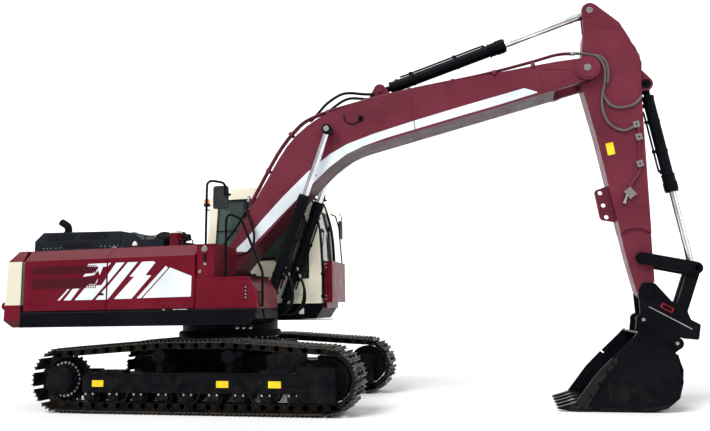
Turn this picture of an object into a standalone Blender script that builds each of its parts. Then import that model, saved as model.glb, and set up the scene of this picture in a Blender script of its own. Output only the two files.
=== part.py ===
"""Crawler excavator: tracked undercarriage, revolving house with cab, and a boom, arm and bucket.

Metres. +X forward, +Y to the machine's left, +Z up. It is drawn about the slewing axis, with the
ground at Z = 0, and the whole model then hangs from one empty that puts the middle of its
footprint at the origin.
"""
import math

import bmesh
import bpy
from mathutils import Vector

# ---------------------------------------------------------------- driving dimensions
GAP = 0.0003                # between faces that touch
RUN = 0.006                 # between pieces that move past each other
PIN_GAP = 0.0003            # between a pin and its bore
SIDES = 12                  # sides of a plain round piece
PIN_SIDES = 20              # sides of a pin and of its bore
WHEEL_SIDES = 28            # sides of a large one

# undercarriage
TRACK_GAUGE = 2.52
TRACK_STEP = 15             # degrees between the corners of a track's bends
SHOE_WIDTH = 0.60
SHOE_THICK = 0.045
CHAIN_THICK = 0.10
CHAIN_WIDTH = 0.22
SPROCKET_X, SPROCKET_Z, SPROCKET_R = -2.03, 0.475, 0.320
IDLER_X, IDLER_Z, IDLER_R = 2.02, 0.475, 0.325
CARRIER_XS = (-0.48, 0.59)
CARRIER_Z, CARRIER_R = 0.800, 0.095
ROLLER_COUNT = 9
ROLLER_R = 0.085
ROLLER_SIDES = 12
ROLLER_SPAN = 3.12
FRAME_BOTTOM, FRAME_TOP = 0.30, 0.56
FRAME_REAR, FRAME_FRONT = -1.68, 1.62
DRIVE_IN = 0.20             # inner end of the final drive, from the track's middle
FRAME_HALF = 0.235
GUARD_FRONT = 2.16
GUARD_BOTTOM, GUARD_TOP = 0.17, 0.66
GUARD_INNER = 0.145         # inner faces of the idler guards, from the track's middle
DRIVE_R, DRIVE_OUT = 0.215, 0.34
CARBODY_HALF_LENGTH = 0.95
CARBODY_BOTTOM, CARBODY_TOP = 0.45, 0.95
LEG_WIDTH = 0.46
BEARING_R, BEARING_BORE = 0.80, 0.60
BEARING_BOTTOM, BEARING_SPLIT = 1.03, 1.13

# revolving house
DECK_BOTTOM, DECK_TOP = 1.24, 1.47
HALF_WIDTH = 1.46
HOUSE_REAR = -2.83
HOUSE_TOP = 2.42
CHAMFER_IN, CHAMFER_DOWN = 0.15, 0.17
SHEET = 0.035
RIGHT_BAY_FRONT = 0.07
LEFT_BAY_FRONT = -0.74
CENTRE_FRONT = -0.42
CENTRE_DECK = 0.62          # front of the deck between the boom brackets
CENTRE_DROP = 0.03          # and how far it lies below the side decks
CENTRE_HALF = 0.52
RIGHT_SPLIT = -1.35
LEFT_SPLIT = -1.75
BAY_INNER = 0.62            # inner face of the right-hand compartment, from the middle
DOOR_GAP = 0.008
DOOR_WALL = 0.03
HINGE_IN = 0.02             # a side door's hinge, from its edge
TAIL_SIDE_X, TAIL_X = -3.22, -3.50
TAIL_BOTTOM = 1.24
HOOD_REAR, HOOD_FRONT, HOOD_HALF = -3.07, -1.50, 0.90
HOOD_TOP = 2.76
COVER_FRONT, COVER_TOP = -0.75, 2.58
EXHAUST_X, EXHAUST_Y, EXHAUST_R = -2.78, -0.45, 0.062
EXHAUST_TOP = 2.97
ENGINE_SIZE = (1.25, 0.85, 0.85)
ENGINE_X = -2.10
TANK_FRONT, TANK_TOP = 1.03, 1.92
TOWER_FRONT, TOWER_TOP = 0.36, 2.41
SWING_DRIVE_X, SWING_DRIVE_R, SWING_DRIVE_TOP = 0.42, 0.16, 1.66

# cab
CAB_RIGHT, CAB_LEFT = 0.50, 1.46
CAB_REAR, CAB_FRONT = -0.67, 1.41
CAB_FLOOR, CAB_ROOF = 1.535, 3.57
CAB_WALL = 0.055
SILL = 2.28                 # lower edge of the side windows
GLASS = 0.006
CAB_DOOR_REAR, CAB_DOOR_FRONT = 0.10, 1.20
CAB_DOOR_BOTTOM, CAB_DOOR_TOP = 1.60, 3.42
HINGE_ZS = (1.90, 3.05)     # lower ends of the cab door's hinges
LOCKER_REAR, LOCKER_FRONT = 1.47, 1.60
LOCKER_BOTTOM, LOCKER_TOP = 1.55, 2.24
RAIL_R = 0.019

# working equipment, in the parked pose
BOOM_FOOT = (0.04, 2.09)
BOOM_LENGTH = 6.395
BOOM_ANGLE = 26.16          # of the line from foot to tip, above level
BOOM_HALF = 0.285
BOOM_FOOT_R, BOOM_TIP_R = 0.15, 0.19
FORK_HALF = 0.222
FORK_DEPTH = 0.56
ARM_LENGTH = 3.366
ARM_ANGLE = -79.56
ARM_HALF, ARM_TIP_HALF = 0.200, 0.165
ARM_TIP_R = 0.130
BOOM_PIN_R, ARM_PIN_R, SMALL_PIN_R = 0.055, 0.055, 0.045
BOOM_CYL_Y = 0.392
BOSS_OUT = 0.006
BOOM_CYL_BASE = (0.76, 1.45)
BOOM_CYL_R, BOOM_ROD_R = 0.084, 0.052
ARM_CYL_R, ARM_ROD_R = 0.094, 0.058
BUCKET_CYL_R, BUCKET_ROD_R = 0.082, 0.050
BOOM_GLAND, BOOM_INSIDE = 1.87, 0.60
ARM_GLAND, ARM_INSIDE = 2.07, 0.78
BUCKET_GLAND, BUCKET_INSIDE = 1.62, 0.65
EYE_R = 0.095
EYE_HALF = 0.052
BARREL_START = 0.17         # where a barrel reaches its full size, from its pin
LINK_PIN = (0.650, 0.310)   # from the arm's tip pin, parked
GUIDE_BACK, GUIDE_OUT = 0.472, 0.036
LINK_R = 0.078
COUPLER_PIN = (0.410, -0.330)
BUCKET_PIN_FRONT = (-0.100, -0.390)
BUCKET_PIN_REAR = (0.310, -0.720)
COUPLER_PLATE = 0.044
BUCKET_HALF = 0.65
BUCKET_PLATE = 0.032
TOOTH_COUNT = 5

# where the pieces stand in the parked pose
TRACK_Y = TRACK_GAUGE / 2
SHOE_OUT = SHOE_THICK + CHAIN_THICK


def turned(point, angle):
    """A point (x, z) turned about the origin by an angle in degrees, X towards Z."""
    c = math.cos(math.radians(angle))
    s = math.sin(math.radians(angle))
    return (point[0] * c - point[1] * s, point[0] * s + point[1] * c)


def moved(point, by):
    """A point (x, z) moved by (dx, dz)."""
    return (point[0] + by[0], point[1] + by[1])


def on_boom(along, up):
    """A point on the boom: along the line from foot to tip, and up from it."""
    return moved(turned((along, up), BOOM_ANGLE), BOOM_FOOT)


BOOM_TIP = on_boom(BOOM_LENGTH, 0)


def on_arm(along, out):
    """A point on the arm: along the line from its pivot to its tip, and out from the machine."""
    return moved(turned((along, out), ARM_ANGLE), BOOM_TIP)


ARM_TIP = on_arm(ARM_LENGTH, 0)
BOOM_ROD_PIN = on_boom(2.534, 1.167)
ARM_CYL_BASE = on_boom(3.55, 1.42)
ARM_ROD_PIN = on_arm(-0.934, 0.284)
BUCKET_CYL_BASE = on_arm(0.406, 0.769)
GUIDE_PIN = on_arm(ARM_LENGTH - GUIDE_BACK, GUIDE_OUT)
LINK_PIN_AT = moved(ARM_TIP, LINK_PIN)
COUPLER_PIN_AT = moved(ARM_TIP, COUPLER_PIN)
FRONT_PIN_AT = moved(ARM_TIP, BUCKET_PIN_FRONT)
REAR_PIN_AT = moved(ARM_TIP, BUCKET_PIN_REAR)

COLOURS = {                 # base colour, roughness, metallic
    "body_red": ((0.150, 0.008, 0.022, 1), 0.30, 0.0),
    "cab_cream": ((0.72, 0.67, 0.52, 1), 0.35, 0.0),
    "frame_black": ((0.012, 0.013, 0.016, 1), 0.45, 0.0),
    "track_steel": ((0.055, 0.045, 0.038, 1), 0.60, 0.6),
    "cast_iron": ((0.030, 0.031, 0.034, 1), 0.55, 0.4),
    "chrome_rod": ((0.75, 0.76, 0.78, 1), 0.10, 1.0),
    "cab_glass": ((0.10, 0.16, 0.14, 1), 0.05, 0.0),
    "seat_cloth": ((0.035, 0.036, 0.040, 1), 0.90, 0.0),
    "grey_plastic": ((0.060, 0.062, 0.066, 1), 0.55, 0.0),
}


# ---------------------------------------------------------------- shapes
def prism(outline, axis, low, high):
    """Extrude a closed outline along X, Y or Z from low to high."""
    place = {"X": lambda u, v, w: (w, u, v), "Y": lambda u, v, w: (u, w, v),
             "Z": lambda u, v, w: (u, v, w)}[axis]
    bm = bmesh.new()
    first = [bm.verts.new(place(u, v, low)) for u, v in outline]
    last = [bm.verts.new(place(u, v, high)) for u, v in outline]
    bm.faces.new(first)
    bm.faces.new(last)
    for i in range(len(outline)):
        j = (i + 1) % len(outline)
        bm.faces.new((first[i], first[j], last[j], last[i]))
    bmesh.ops.recalc_face_normals(bm, faces=bm.faces)
    return bm


def box(x, y, z):
    """A block between the two values of x, of y and of z."""
    return prism([(x[0], y[0]), (x[1], y[0]), (x[1], y[1]), (x[0], y[1])], "Z", z[0], z[1])


def circle(centre, radius, sides=SIDES):
    """The corners of a regular outline whose corners lie on the circle."""
    turns = [2 * math.pi * (i + 0.5) / sides for i in range(sides)]
    return [(centre[0] + radius * math.cos(t), centre[1] + radius * math.sin(t)) for t in turns]


def bore(centre, pin_radius):
    """The outline of a hole whose flats stay clear of a round pin."""
    return circle(centre, (pin_radius + PIN_GAP) / math.cos(math.pi / PIN_SIDES), PIN_SIDES)


def rounded(corners, step=26, wide_step=8, wide=0.25):
    """A closed outline of (x, z) or (x, z, radius) corners, its wide arcs drawn finer."""
    outline = []
    for i, corner in enumerate(corners):
        here = Vector(corner[:2])
        radius = corner[2] if len(corner) > 2 else 0
        if not radius:
            outline.append(tuple(here))
            continue
        back = (Vector(corners[i - 1][:2]) - here).normalized()
        ahead = (Vector(corners[(i + 1) % len(corners)][:2]) - here).normalized()
        turn = math.pi - back.angle(ahead)
        reach = radius * math.tan(turn / 2)
        centre = here + (back + ahead).normalized() * radius / math.cos(turn / 2)
        start = here + back * reach - centre
        side = 1 if back.cross(ahead) < 0 else -1
        count = max(2, math.ceil(math.degrees(turn) / (wide_step if radius > wide else step)))
        for k in range(count + 1):
            a = math.degrees(side * turn * k / count)
            outline.append(tuple(centre + Vector(turned(start, a))))
    return outline


def belt(circles, step=30):
    """The outline of a band drawn tight round circles (x, z, radius)."""
    points = []
    for x, z, radius in circles:
        points += circle((x, z), radius, round(360 / step))
    points = sorted(set(points))
    hull = []
    for run in (points, points[::-1]):
        part = []
        for p in run:
            while len(part) > 1 and (Vector(part[-1]) - Vector(part[-2])).cross(
                    Vector(p) - Vector(part[-2])) <= 1e-9:
                part.pop()
            part.append(p)
        hull += part[:-1]
    return hull


def rod(start, end, radius, sides=SIDES, tip_radius=None):
    """A round bar, or a cone, between two points."""
    start, end = Vector(start), Vector(end)
    bm = bmesh.new()
    bmesh.ops.create_cone(bm, cap_ends=True, segments=sides, radius1=radius,
                          radius2=radius if tip_radius is None else tip_radius,
                          depth=(end - start).length)
    turn = (end - start).to_track_quat("Z", "Y").to_matrix()
    bmesh.ops.rotate(bm, verts=bm.verts, matrix=turn)
    bmesh.ops.translate(bm, verts=bm.verts, vec=(start + end) / 2)
    return bm


def cross_pin(at, low, high, radius, sides=SIDES):
    """A round pin along Y at (x, z)."""
    return prism(circle(at, radius, sides), "Y", low, high)


def tube(points, radius, sides=10):
    """A round bar bent through the points, with a ring of corners at each."""
    points = [Vector(p) for p in points]
    bm = bmesh.new()
    rings = []
    across = None
    for i, p in enumerate(points):
        before = points[max(i - 1, 0)]
        after = points[min(i + 1, len(points) - 1)]
        ahead = (after - before).normalized()
        if across is None:
            across = ahead.orthogonal().normalized()
        across = (across - ahead * across.dot(ahead)).normalized()
        up = ahead.cross(across)
        ring = []
        for k in range(sides):
            a = 2 * math.pi * k / sides
            ring.append(bm.verts.new(p + across * radius * math.cos(a) + up * radius * math.sin(a)))
        rings.append(ring)
    for one, two in zip(rings, rings[1:]):
        for k in range(sides):
            m = (k + 1) % sides
            bm.faces.new((one[k], one[m], two[m], two[k]))
    bm.faces.new(rings[0])
    bm.faces.new(rings[-1])
    bmesh.ops.recalc_face_normals(bm, faces=bm.faces)
    return bm


def bent(corners, radius, steps=4):
    """Points along straight runs whose corners are rounded to a radius."""
    corners = [Vector(c) for c in corners]
    points = [corners[0]]
    for before, here, after in zip(corners, corners[1:], corners[2:]):
        back = (before - here).normalized()
        ahead = (after - here).normalized()
        turn = math.pi - back.angle(ahead)
        reach = radius * math.tan(turn / 2)
        one = here + back * reach
        two = here + ahead * reach
        for k in range(steps + 1):
            t = k / steps
            points.append(one * (1 - t) ** 2 + here * 2 * t * (1 - t) + two * t ** 2)
    points.append(corners[-1])
    return points


def loft(outlines):
    """Skin a stack of outlines, each given as (height, points)."""
    bm = bmesh.new()
    rings = []
    for height, points in outlines:
        rings.append([bm.verts.new((u, v, height)) for u, v in points])
    for one, two in zip(rings, rings[1:]):
        for k in range(len(one)):
            m = (k + 1) % len(one)
            bm.faces.new((one[k], one[m], two[m], two[k]))
    bm.faces.new(rings[0])
    bm.faces.new(rings[-1])
    bmesh.ops.recalc_face_normals(bm, faces=bm.faces)
    return bm


# ---------------------------------------------------------------- objects
def material(name):
    """The named finish, made once."""
    if name in bpy.data.materials:
        return bpy.data.materials[name]
    colour, roughness, metallic = COLOURS[name]
    made = bpy.data.materials.new(name)
    made.use_nodes = True
    shader = made.node_tree.nodes["Principled BSDF"]
    shader.inputs["Base Color"].default_value = colour
    shader.inputs["Roughness"].default_value = roughness
    shader.inputs["Metallic"].default_value = metallic
    made.diffuse_color = colour
    return made


def as_object(name, bm):
    """Put a bmesh into the scene as an object."""
    mesh = bpy.data.meshes.new(name)
    bm.to_mesh(mesh)
    bm.free()
    made = bpy.data.objects.new(name, mesh)
    bpy.context.collection.objects.link(made)
    return made


def solid(name, finish, shapes, cuts=(), pivot=(0, 0, 0)):
    """One named object: the shapes joined together, less the cuts, its origin at the pivot."""
    base = as_object(name, shapes[0])
    tools = []
    for operation, group in (("UNION", shapes[1:]), ("DIFFERENCE", cuts)):
        for shape in group:
            tool = as_object(name + "_tool", shape)
            modifier = base.modifiers.new(operation.lower(), "BOOLEAN")
            modifier.operation = operation
            modifier.object = tool
            tools.append(tool)
    if tools:
        graph = bpy.context.evaluated_depsgraph_get()
        mesh = bpy.data.meshes.new_from_object(base.evaluated_get(graph))
        base.modifiers.clear()
        base.data = mesh
        for tool in tools:
            bpy.data.objects.remove(tool)
    base.data.name = name
    for vertex in base.data.vertices:
        vertex.co -= Vector(pivot)
    base.location = pivot
    base.data.materials.clear()
    base.data.materials.append(material(finish))
    base.data.shade_smooth()
    base.data.set_sharp_from_angle(angle=math.radians(30))
    base.parent = ROOT
    return base


# ---------------------------------------------------------------- undercarriage
def track_path(grow):
    """The outline of the track band, grown by a distance from its inner face."""
    low = CHAIN_THICK + SHOE_THICK
    rounds = [(SPROCKET_X, SPROCKET_Z, SPROCKET_R + grow), (IDLER_X, IDLER_Z, IDLER_R + grow)]
    rounds += [(x, CARRIER_Z, CARRIER_R + RUN + grow) for x in CARRIER_XS]
    half = ROLLER_SPAN / 2
    rounds += [(x, low + ROLLER_R, ROLLER_R + grow) for x in (-half, half)]
    flat = math.cos(math.radians(TRACK_STEP / 2))
    return belt([(x, z, radius / flat) for x, z, radius in rounds], TRACK_STEP)


def undercarriage():
    """Everything below the slewing bearing."""
    reach = TRACK_Y - FRAME_HALF - GAP
    body = [box((-CARBODY_HALF_LENGTH, CARBODY_HALF_LENGTH), (-0.62, 0.62),
                (CARBODY_BOTTOM, CARBODY_TOP)),
            prism(circle((0, 0), BEARING_R - 0.04, WHEEL_SIDES), "Z", CARBODY_TOP - 0.05,
                BEARING_BOTTOM - GAP)]
    for x in (-CARBODY_HALF_LENGTH + LEG_WIDTH / 2 - 0.05, CARBODY_HALF_LENGTH - LEG_WIDTH / 2 + 0.05):
        body.append(box((x - LEG_WIDTH / 2, x + LEG_WIDTH / 2), (-reach, reach),
                        (FRAME_BOTTOM + 0.06, CARBODY_TOP - 0.17)))
    solid("carbody", "frame_black", body)
    solid("swing_bearing", "cast_iron",
          [prism(circle((0, 0), BEARING_R, WHEEL_SIDES), "Z", BEARING_BOTTOM, BEARING_SPLIT - GAP)],
          [prism(circle((0, 0), BEARING_BORE, WHEEL_SIDES), "Z", 0, 2)])
    for side, name in ((1, "left"), (-1, "right")):
        track_side(side * TRACK_Y, side, name)


def track_side(y, side, name):
    """One track with its frame, rollers, sprocket and idler."""
    inner, outer = y - FRAME_HALF, y + FRAME_HALF
    roller_z = CHAIN_THICK + SHOE_THICK + ROLLER_R * math.cos(math.pi / ROLLER_SIDES) + GAP
    frame = [box((FRAME_REAR, FRAME_FRONT + 0.1), (inner, outer), (FRAME_BOTTOM, FRAME_TOP))]
    frame.append(box((SPROCKET_X - 0.12, FRAME_REAR + 0.05),
                     sorted((y - side * (DRIVE_IN + GAP), y - side * FRAME_HALF)), (0.36, 0.60)))
    for cheek in (-1, 1):
        low = y + cheek * FRAME_HALF
        high = y + cheek * GUARD_INNER
        frame.append(prism(rounded([(FRAME_FRONT, GUARD_BOTTOM), (GUARD_FRONT, GUARD_BOTTOM),
                                    (GUARD_FRONT, GUARD_TOP - 0.03), (GUARD_FRONT - 0.03, GUARD_TOP),
                                    (FRAME_FRONT, GUARD_TOP)]), "Y", min(low, high), max(low, high)))
    for i in range(ROLLER_COUNT):
        x = (i / (ROLLER_COUNT - 1) - 0.5) * ROLLER_SPAN
        frame.append(cross_pin((x, roller_z), y - 0.18, y + 0.18, ROLLER_R, ROLLER_SIDES))
        for cheek in (-1, 1):
            frame.append(box((x - 0.07, x + 0.07), (y + cheek * 0.20 - 0.03, y + cheek * 0.20 + 0.03),
                             (roller_z - 0.04, FRAME_BOTTOM + 0.02)))
    for x in CARRIER_XS:
        frame.append(cross_pin((x, CARRIER_Z), y - 0.16, y + 0.20, CARRIER_R))
        frame.append(box((x - 0.05, x + 0.05), (y - 0.16, y - 0.11), (FRAME_TOP - 0.02, CARRIER_Z)))
    solid("track_frame_" + name, "frame_black", frame,
          [prism(circle((IDLER_X, IDLER_Z), IDLER_R + 0.02), "Y", y - CHAIN_WIDTH / 2 - 0.03,
                 y + CHAIN_WIDTH / 2 + 0.03)])
    shoes = track_path(SHOE_OUT)
    band = [prism(shoes, "Y", y - SHOE_WIDTH / 2, y + SHOE_WIDTH / 2)]
    hollow = [prism(track_path(CHAIN_THICK), "Y", y - 2, y - CHAIN_WIDTH / 2),
              prism(track_path(CHAIN_THICK), "Y", y + CHAIN_WIDTH / 2, y + 2),
              prism(track_path(0), "Y", y - 1, y + 1)]
    solid("track_" + name, "track_steel", band, hollow)
    solid("sprocket_" + name, "cast_iron",
          [cross_pin((SPROCKET_X, SPROCKET_Z), y - 0.05, y + 0.05, SPROCKET_R - 0.006, WHEEL_SIDES),
           cross_pin((SPROCKET_X, SPROCKET_Z), *sorted((y - side * DRIVE_IN, y)), 0.18),
           cross_pin((SPROCKET_X, SPROCKET_Z), *sorted((y, y + side * DRIVE_OUT)), DRIVE_R,
                     WHEEL_SIDES)])
    solid("idler_" + name, "cast_iron",
          [cross_pin((IDLER_X, IDLER_Z), y - 0.09, y + 0.09, IDLER_R - 0.006, WHEEL_SIDES),
           cross_pin((IDLER_X, IDLER_Z), y - GUARD_INNER + GAP, y + GUARD_INNER - GAP, 0.09)])


# ---------------------------------------------------------------- revolving house
def revolving_frame():
    """The deck, its bearing flange, and the brackets that carry the boom and its cylinders."""
    right_front = TANK_FRONT - 0.03
    right = rounded([(HOUSE_REAR, DECK_BOTTOM), (right_front - 0.10, DECK_BOTTOM),
                     (right_front, DECK_BOTTOM + 0.08), (right_front, DECK_TOP), (HOUSE_REAR, DECK_TOP)])
    left = rounded([(HOUSE_REAR, DECK_BOTTOM), (CAB_FRONT - 0.10, DECK_BOTTOM + 0.04),
                    (CAB_FRONT + 0.03, DECK_TOP), (CAB_FRONT + 0.03, CAB_FLOOR - GAP),
                    (CAB_REAR - 0.03, CAB_FLOOR - GAP), (CAB_REAR - 0.03, DECK_TOP),
                    (HOUSE_REAR, DECK_TOP)])
    shapes = [prism(right, "Y", -HALF_WIDTH, -CENTRE_HALF), prism(left, "Y", CAB_RIGHT, HALF_WIDTH),
              box((HOUSE_REAR, CENTRE_DECK), (-CENTRE_HALF - 0.01, CAB_RIGHT + 0.01),
                  (DECK_BOTTOM, DECK_TOP - CENTRE_DROP)),
              prism(circle((0, 0), BEARING_R - 0.03, WHEEL_SIDES), "Z", BEARING_SPLIT, DECK_BOTTOM + 0.05)]
    plate = belt([(*BOOM_FOOT, 0.15), (-0.32, DECK_TOP, 0.06), (0.50, DECK_TOP - 0.1, 0.08)])
    lug = belt([(*BOOM_CYL_BASE, 0.10), (0.50, DECK_BOTTOM + 0.10, 0.08), (0.50, DECK_TOP, 0.06)])
    inner = BOOM_HALF + RUN
    for side in (-1, 1):
        shapes.append(prism(plate, "Y", *sorted((side * inner, side * (inner + 0.04)))))
        eye_in = BOOM_CYL_Y - EYE_HALF - RUN
        eye_out = BOOM_CYL_Y + EYE_HALF + RUN
        shapes.append(prism(lug, "Y", *sorted((side * (eye_in - 0.03), side * eye_in))))
        shapes.append(prism(lug, "Y", *sorted((side * eye_out, side * (eye_out + 0.03)))))
        shapes.append(cross_pin(BOOM_CYL_BASE, *sorted((side * (eye_in - 0.05), side * (eye_out + 0.04))),
                                SMALL_PIN_R, PIN_SIDES))
    shapes.append(cross_pin(BOOM_FOOT, -inner - 0.06, inner + 0.06, BOOM_PIN_R, PIN_SIDES))
    solid("revolving_frame", "frame_black", shapes)
    solid("swing_drive", "cast_iron",
          [prism(circle((SWING_DRIVE_X, 0), SWING_DRIVE_R), "Z", DECK_TOP - CENTRE_DROP + GAP,
                 SWING_DRIVE_TOP)])


def tail_outline(inset):
    """The counterweight seen from above, drawn in by an inset."""
    rear, side = TAIL_X + inset, TAIL_SIDE_X + inset
    half = HALF_WIDTH - inset
    front = HOUSE_REAR - GAP
    points = [(front, -half), (front, half)]
    count = 12
    bulge = side - rear
    for i in range(count + 1):
        y = half * (1 - 2 * i / count)
        corner = 0.10 if i in (0, count) else 0.0
        points.append((rear + bulge * (y / half) ** 2 + corner, y))
    return points


def side_door(name, side, rear, front, hinge_rear):
    """A folded side door of the house, with the chamfer along its top."""
    low = DECK_TOP + 0.012
    top = HOUSE_TOP - 0.006
    wall = DOOR_WALL
    section = [(HALF_WIDTH, low), (HALF_WIDTH, HOUSE_TOP - CHAMFER_DOWN), (HALF_WIDTH - CHAMFER_IN, top),
               (HALF_WIDTH - CHAMFER_IN - 0.02, top - wall), (HALF_WIDTH - wall,
                   HOUSE_TOP - CHAMFER_DOWN - 0.01),
               (HALF_WIDTH - wall, low)]
    section = [(side * y, z) for y, z in section]
    pivot_x = rear + HINGE_IN if hinge_rear else front - HINGE_IN
    pivot = (pivot_x, side * (HALF_WIDTH - DOOR_WALL / 2), low)
    peg = rod((pivot[0], pivot[1], DECK_TOP + GAP), (pivot[0], pivot[1], low + 0.02), 0.011, 8)
    solid(name, "body_red", [prism(section, "X", rear, front), peg], pivot=pivot)


def house():
    """The engine house with its doors, hood, engine, tanks and counterweight."""
    levels = [(TAIL_BOTTOM, 0.09), (TAIL_BOTTOM + 0.11, 0.0), (HOUSE_TOP - CHAMFER_DOWN, 0.02),
              (HOUSE_TOP, 0.13)]
    solid("counterweight", "body_red", [loft([(z, tail_outline(inset)) for z, inset in levels])])
    top_y = HALF_WIDTH - CHAMFER_IN - 0.02 - RUN
    roof = (HOUSE_TOP - SHEET, HOUSE_TOP)
    floor = DECK_TOP + GAP
    shapes = [box((HOUSE_REAR + GAP, CENTRE_FRONT), (-top_y, top_y), roof),
              box((CENTRE_FRONT - 0.05, RIGHT_BAY_FRONT), (-top_y, -BAY_INNER), roof),
              box((CENTRE_FRONT - SHEET, CENTRE_FRONT), (-BAY_INNER - SHEET, CAB_RIGHT), (floor, roof[1])),
              box((CENTRE_FRONT - SHEET, RIGHT_BAY_FRONT), (-BAY_INNER - SHEET, -BAY_INNER),
                  (floor, roof[1])),
              box((RIGHT_BAY_FRONT - SHEET, RIGHT_BAY_FRONT), (-top_y + 0.02, -BAY_INNER), (floor,
                  roof[1])),
              box((LEFT_BAY_FRONT - SHEET, LEFT_BAY_FRONT), (CAB_RIGHT - 0.05, top_y), (floor, roof[1])),
              box((LEFT_BAY_FRONT - SHEET, CENTRE_FRONT), (CAB_RIGHT - 0.06 - SHEET, CAB_RIGHT - 0.06),
                  (floor, roof[1]))]
    for x, side in ((RIGHT_SPLIT, -1), (LEFT_SPLIT, 1), (HOUSE_REAR + 0.045, -1), (HOUSE_REAR + 0.045, 1)):
        edge = HALF_WIDTH - CHAMFER_IN - 0.05
        shapes.append(box((x - 0.03, x + 0.03), sorted((side * (edge - 0.20), side * edge)),
                          (floor, roof[1] - 0.01)))
    opening_cut = box((HOUSE_REAR + 0.15, HOOD_FRONT - 0.12), (-HOOD_HALF + 0.12, HOOD_HALF - 0.12),
                      (roof[0] - 0.1, roof[1] + 0.1))
    front_cut = box((LEFT_BAY_FRONT + GAP, CENTRE_FRONT + 0.1), (CAB_RIGHT - 0.06 + GAP, HALF_WIDTH),
                    (floor - 0.1, roof[1] + 0.1))
    solid("house_shell", "body_red", shapes, [opening_cut, front_cut])
    side_door("right_rear_door", -1, HOUSE_REAR + 0.05, RIGHT_SPLIT - DOOR_GAP / 2, True)
    side_door("right_front_door", -1, RIGHT_SPLIT + DOOR_GAP / 2, RIGHT_BAY_FRONT, False)
    side_door("left_rear_door", 1, HOUSE_REAR + 0.05, LEFT_SPLIT - DOOR_GAP / 2, True)
    side_door("left_front_door", 1, LEFT_SPLIT + DOOR_GAP / 2, LEFT_BAY_FRONT - 0.01, True)
    length, width, height = ENGINE_SIZE
    solid("engine_block", "cast_iron",
          [box((ENGINE_X - length / 2, ENGINE_X + length / 2), (-width / 2, width / 2),
               (DECK_TOP - CENTRE_DROP + GAP, DECK_TOP - CENTRE_DROP + height))])
    hood_low = HOUSE_TOP + GAP
    outer = rounded([(HOOD_REAR, hood_low), (HOOD_REAR, HOOD_TOP - 0.14, 0.02),
                     (HOOD_REAR + 0.16, HOOD_TOP), (HOOD_FRONT, HOOD_TOP - 0.03), (HOOD_FRONT, hood_low)])
    hollow = [(HOOD_REAR + 0.03, hood_low - 0.1), (HOOD_REAR + 0.03, HOOD_TOP - 0.16),
              (HOOD_REAR + 0.17, HOOD_TOP - 0.03), (HOOD_FRONT - 0.03, HOOD_TOP - 0.06),
              (HOOD_FRONT - 0.03, hood_low - 0.1)]
    solid("engine_hood", "frame_black", [prism(outer, "Y", -HOOD_HALF, HOOD_HALF)],
          [prism(hollow, "Y", -HOOD_HALF + 0.03, HOOD_HALF - 0.03)],
          pivot=(HOOD_FRONT, 0, HOOD_TOP - 0.03))
    pipe = bent([(EXHAUST_X, EXHAUST_Y, HOOD_TOP - 0.0012), (EXHAUST_X, EXHAUST_Y, EXHAUST_TOP - 0.06),
                 (EXHAUST_X - 0.14, EXHAUST_Y, EXHAUST_TOP + 0.02)], 0.10)
    solid("exhaust_pipe", "frame_black", [tube(pipe, EXHAUST_R, 14)])
    cover = [(HOOD_FRONT + RUN, hood_low), (HOOD_FRONT + RUN, HOOD_TOP - 0.06), (HOOD_FRONT + 0.22,
        HOOD_TOP - 0.06),
             (HOOD_FRONT + 0.38, COVER_TOP), (COVER_FRONT, COVER_TOP), (COVER_FRONT, hood_low)]
    solid("top_cover", "frame_black", [prism(cover, "Y", -HOOD_HALF, HOOD_HALF - 0.1)])
    tank = rounded([(RIGHT_BAY_FRONT + 2 * RUN, DECK_TOP + GAP), (TANK_FRONT, DECK_TOP + GAP),
                    (TANK_FRONT - 0.02, TANK_TOP - 0.20), (TANK_FRONT - 0.14, TANK_TOP),
                    (RIGHT_BAY_FRONT + 2 * RUN, TANK_TOP)])
    solid("fuel_tank", "body_red", [prism(tank, "Y", -HALF_WIDTH, -BAY_INNER + 0.02)])
    solid("hydraulic_tank", "body_red",
          [box((RIGHT_BAY_FRONT + 2 * RUN, TOWER_FRONT), (-HALF_WIDTH + 0.03, -BAY_INNER),
               (TANK_TOP + GAP, TOWER_TOP))])


# ---------------------------------------------------------------- cab
def cab_profile(inset):
    """The cab seen from its right, drawn in by an inset."""
    i = inset
    return rounded([(CAB_REAR + i, CAB_FLOOR + i), (CAB_REAR + i, 2.62),
                    (CAB_REAR + 0.06 + i, CAB_ROOF - 0.14), (CAB_REAR + 0.20 + i, CAB_ROOF - i, 0.06),
                    (CAB_FRONT - 0.42 - i, CAB_ROOF - 0.02 - i, 0.10),
                    (CAB_FRONT - 0.17 - i, CAB_ROOF - 0.27, 0.20), (CAB_FRONT - 0.045 - i, 2.80, 0.3),
                    (CAB_FRONT - i, 2.10), (CAB_FRONT - i, CAB_FLOOR + i)])


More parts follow.
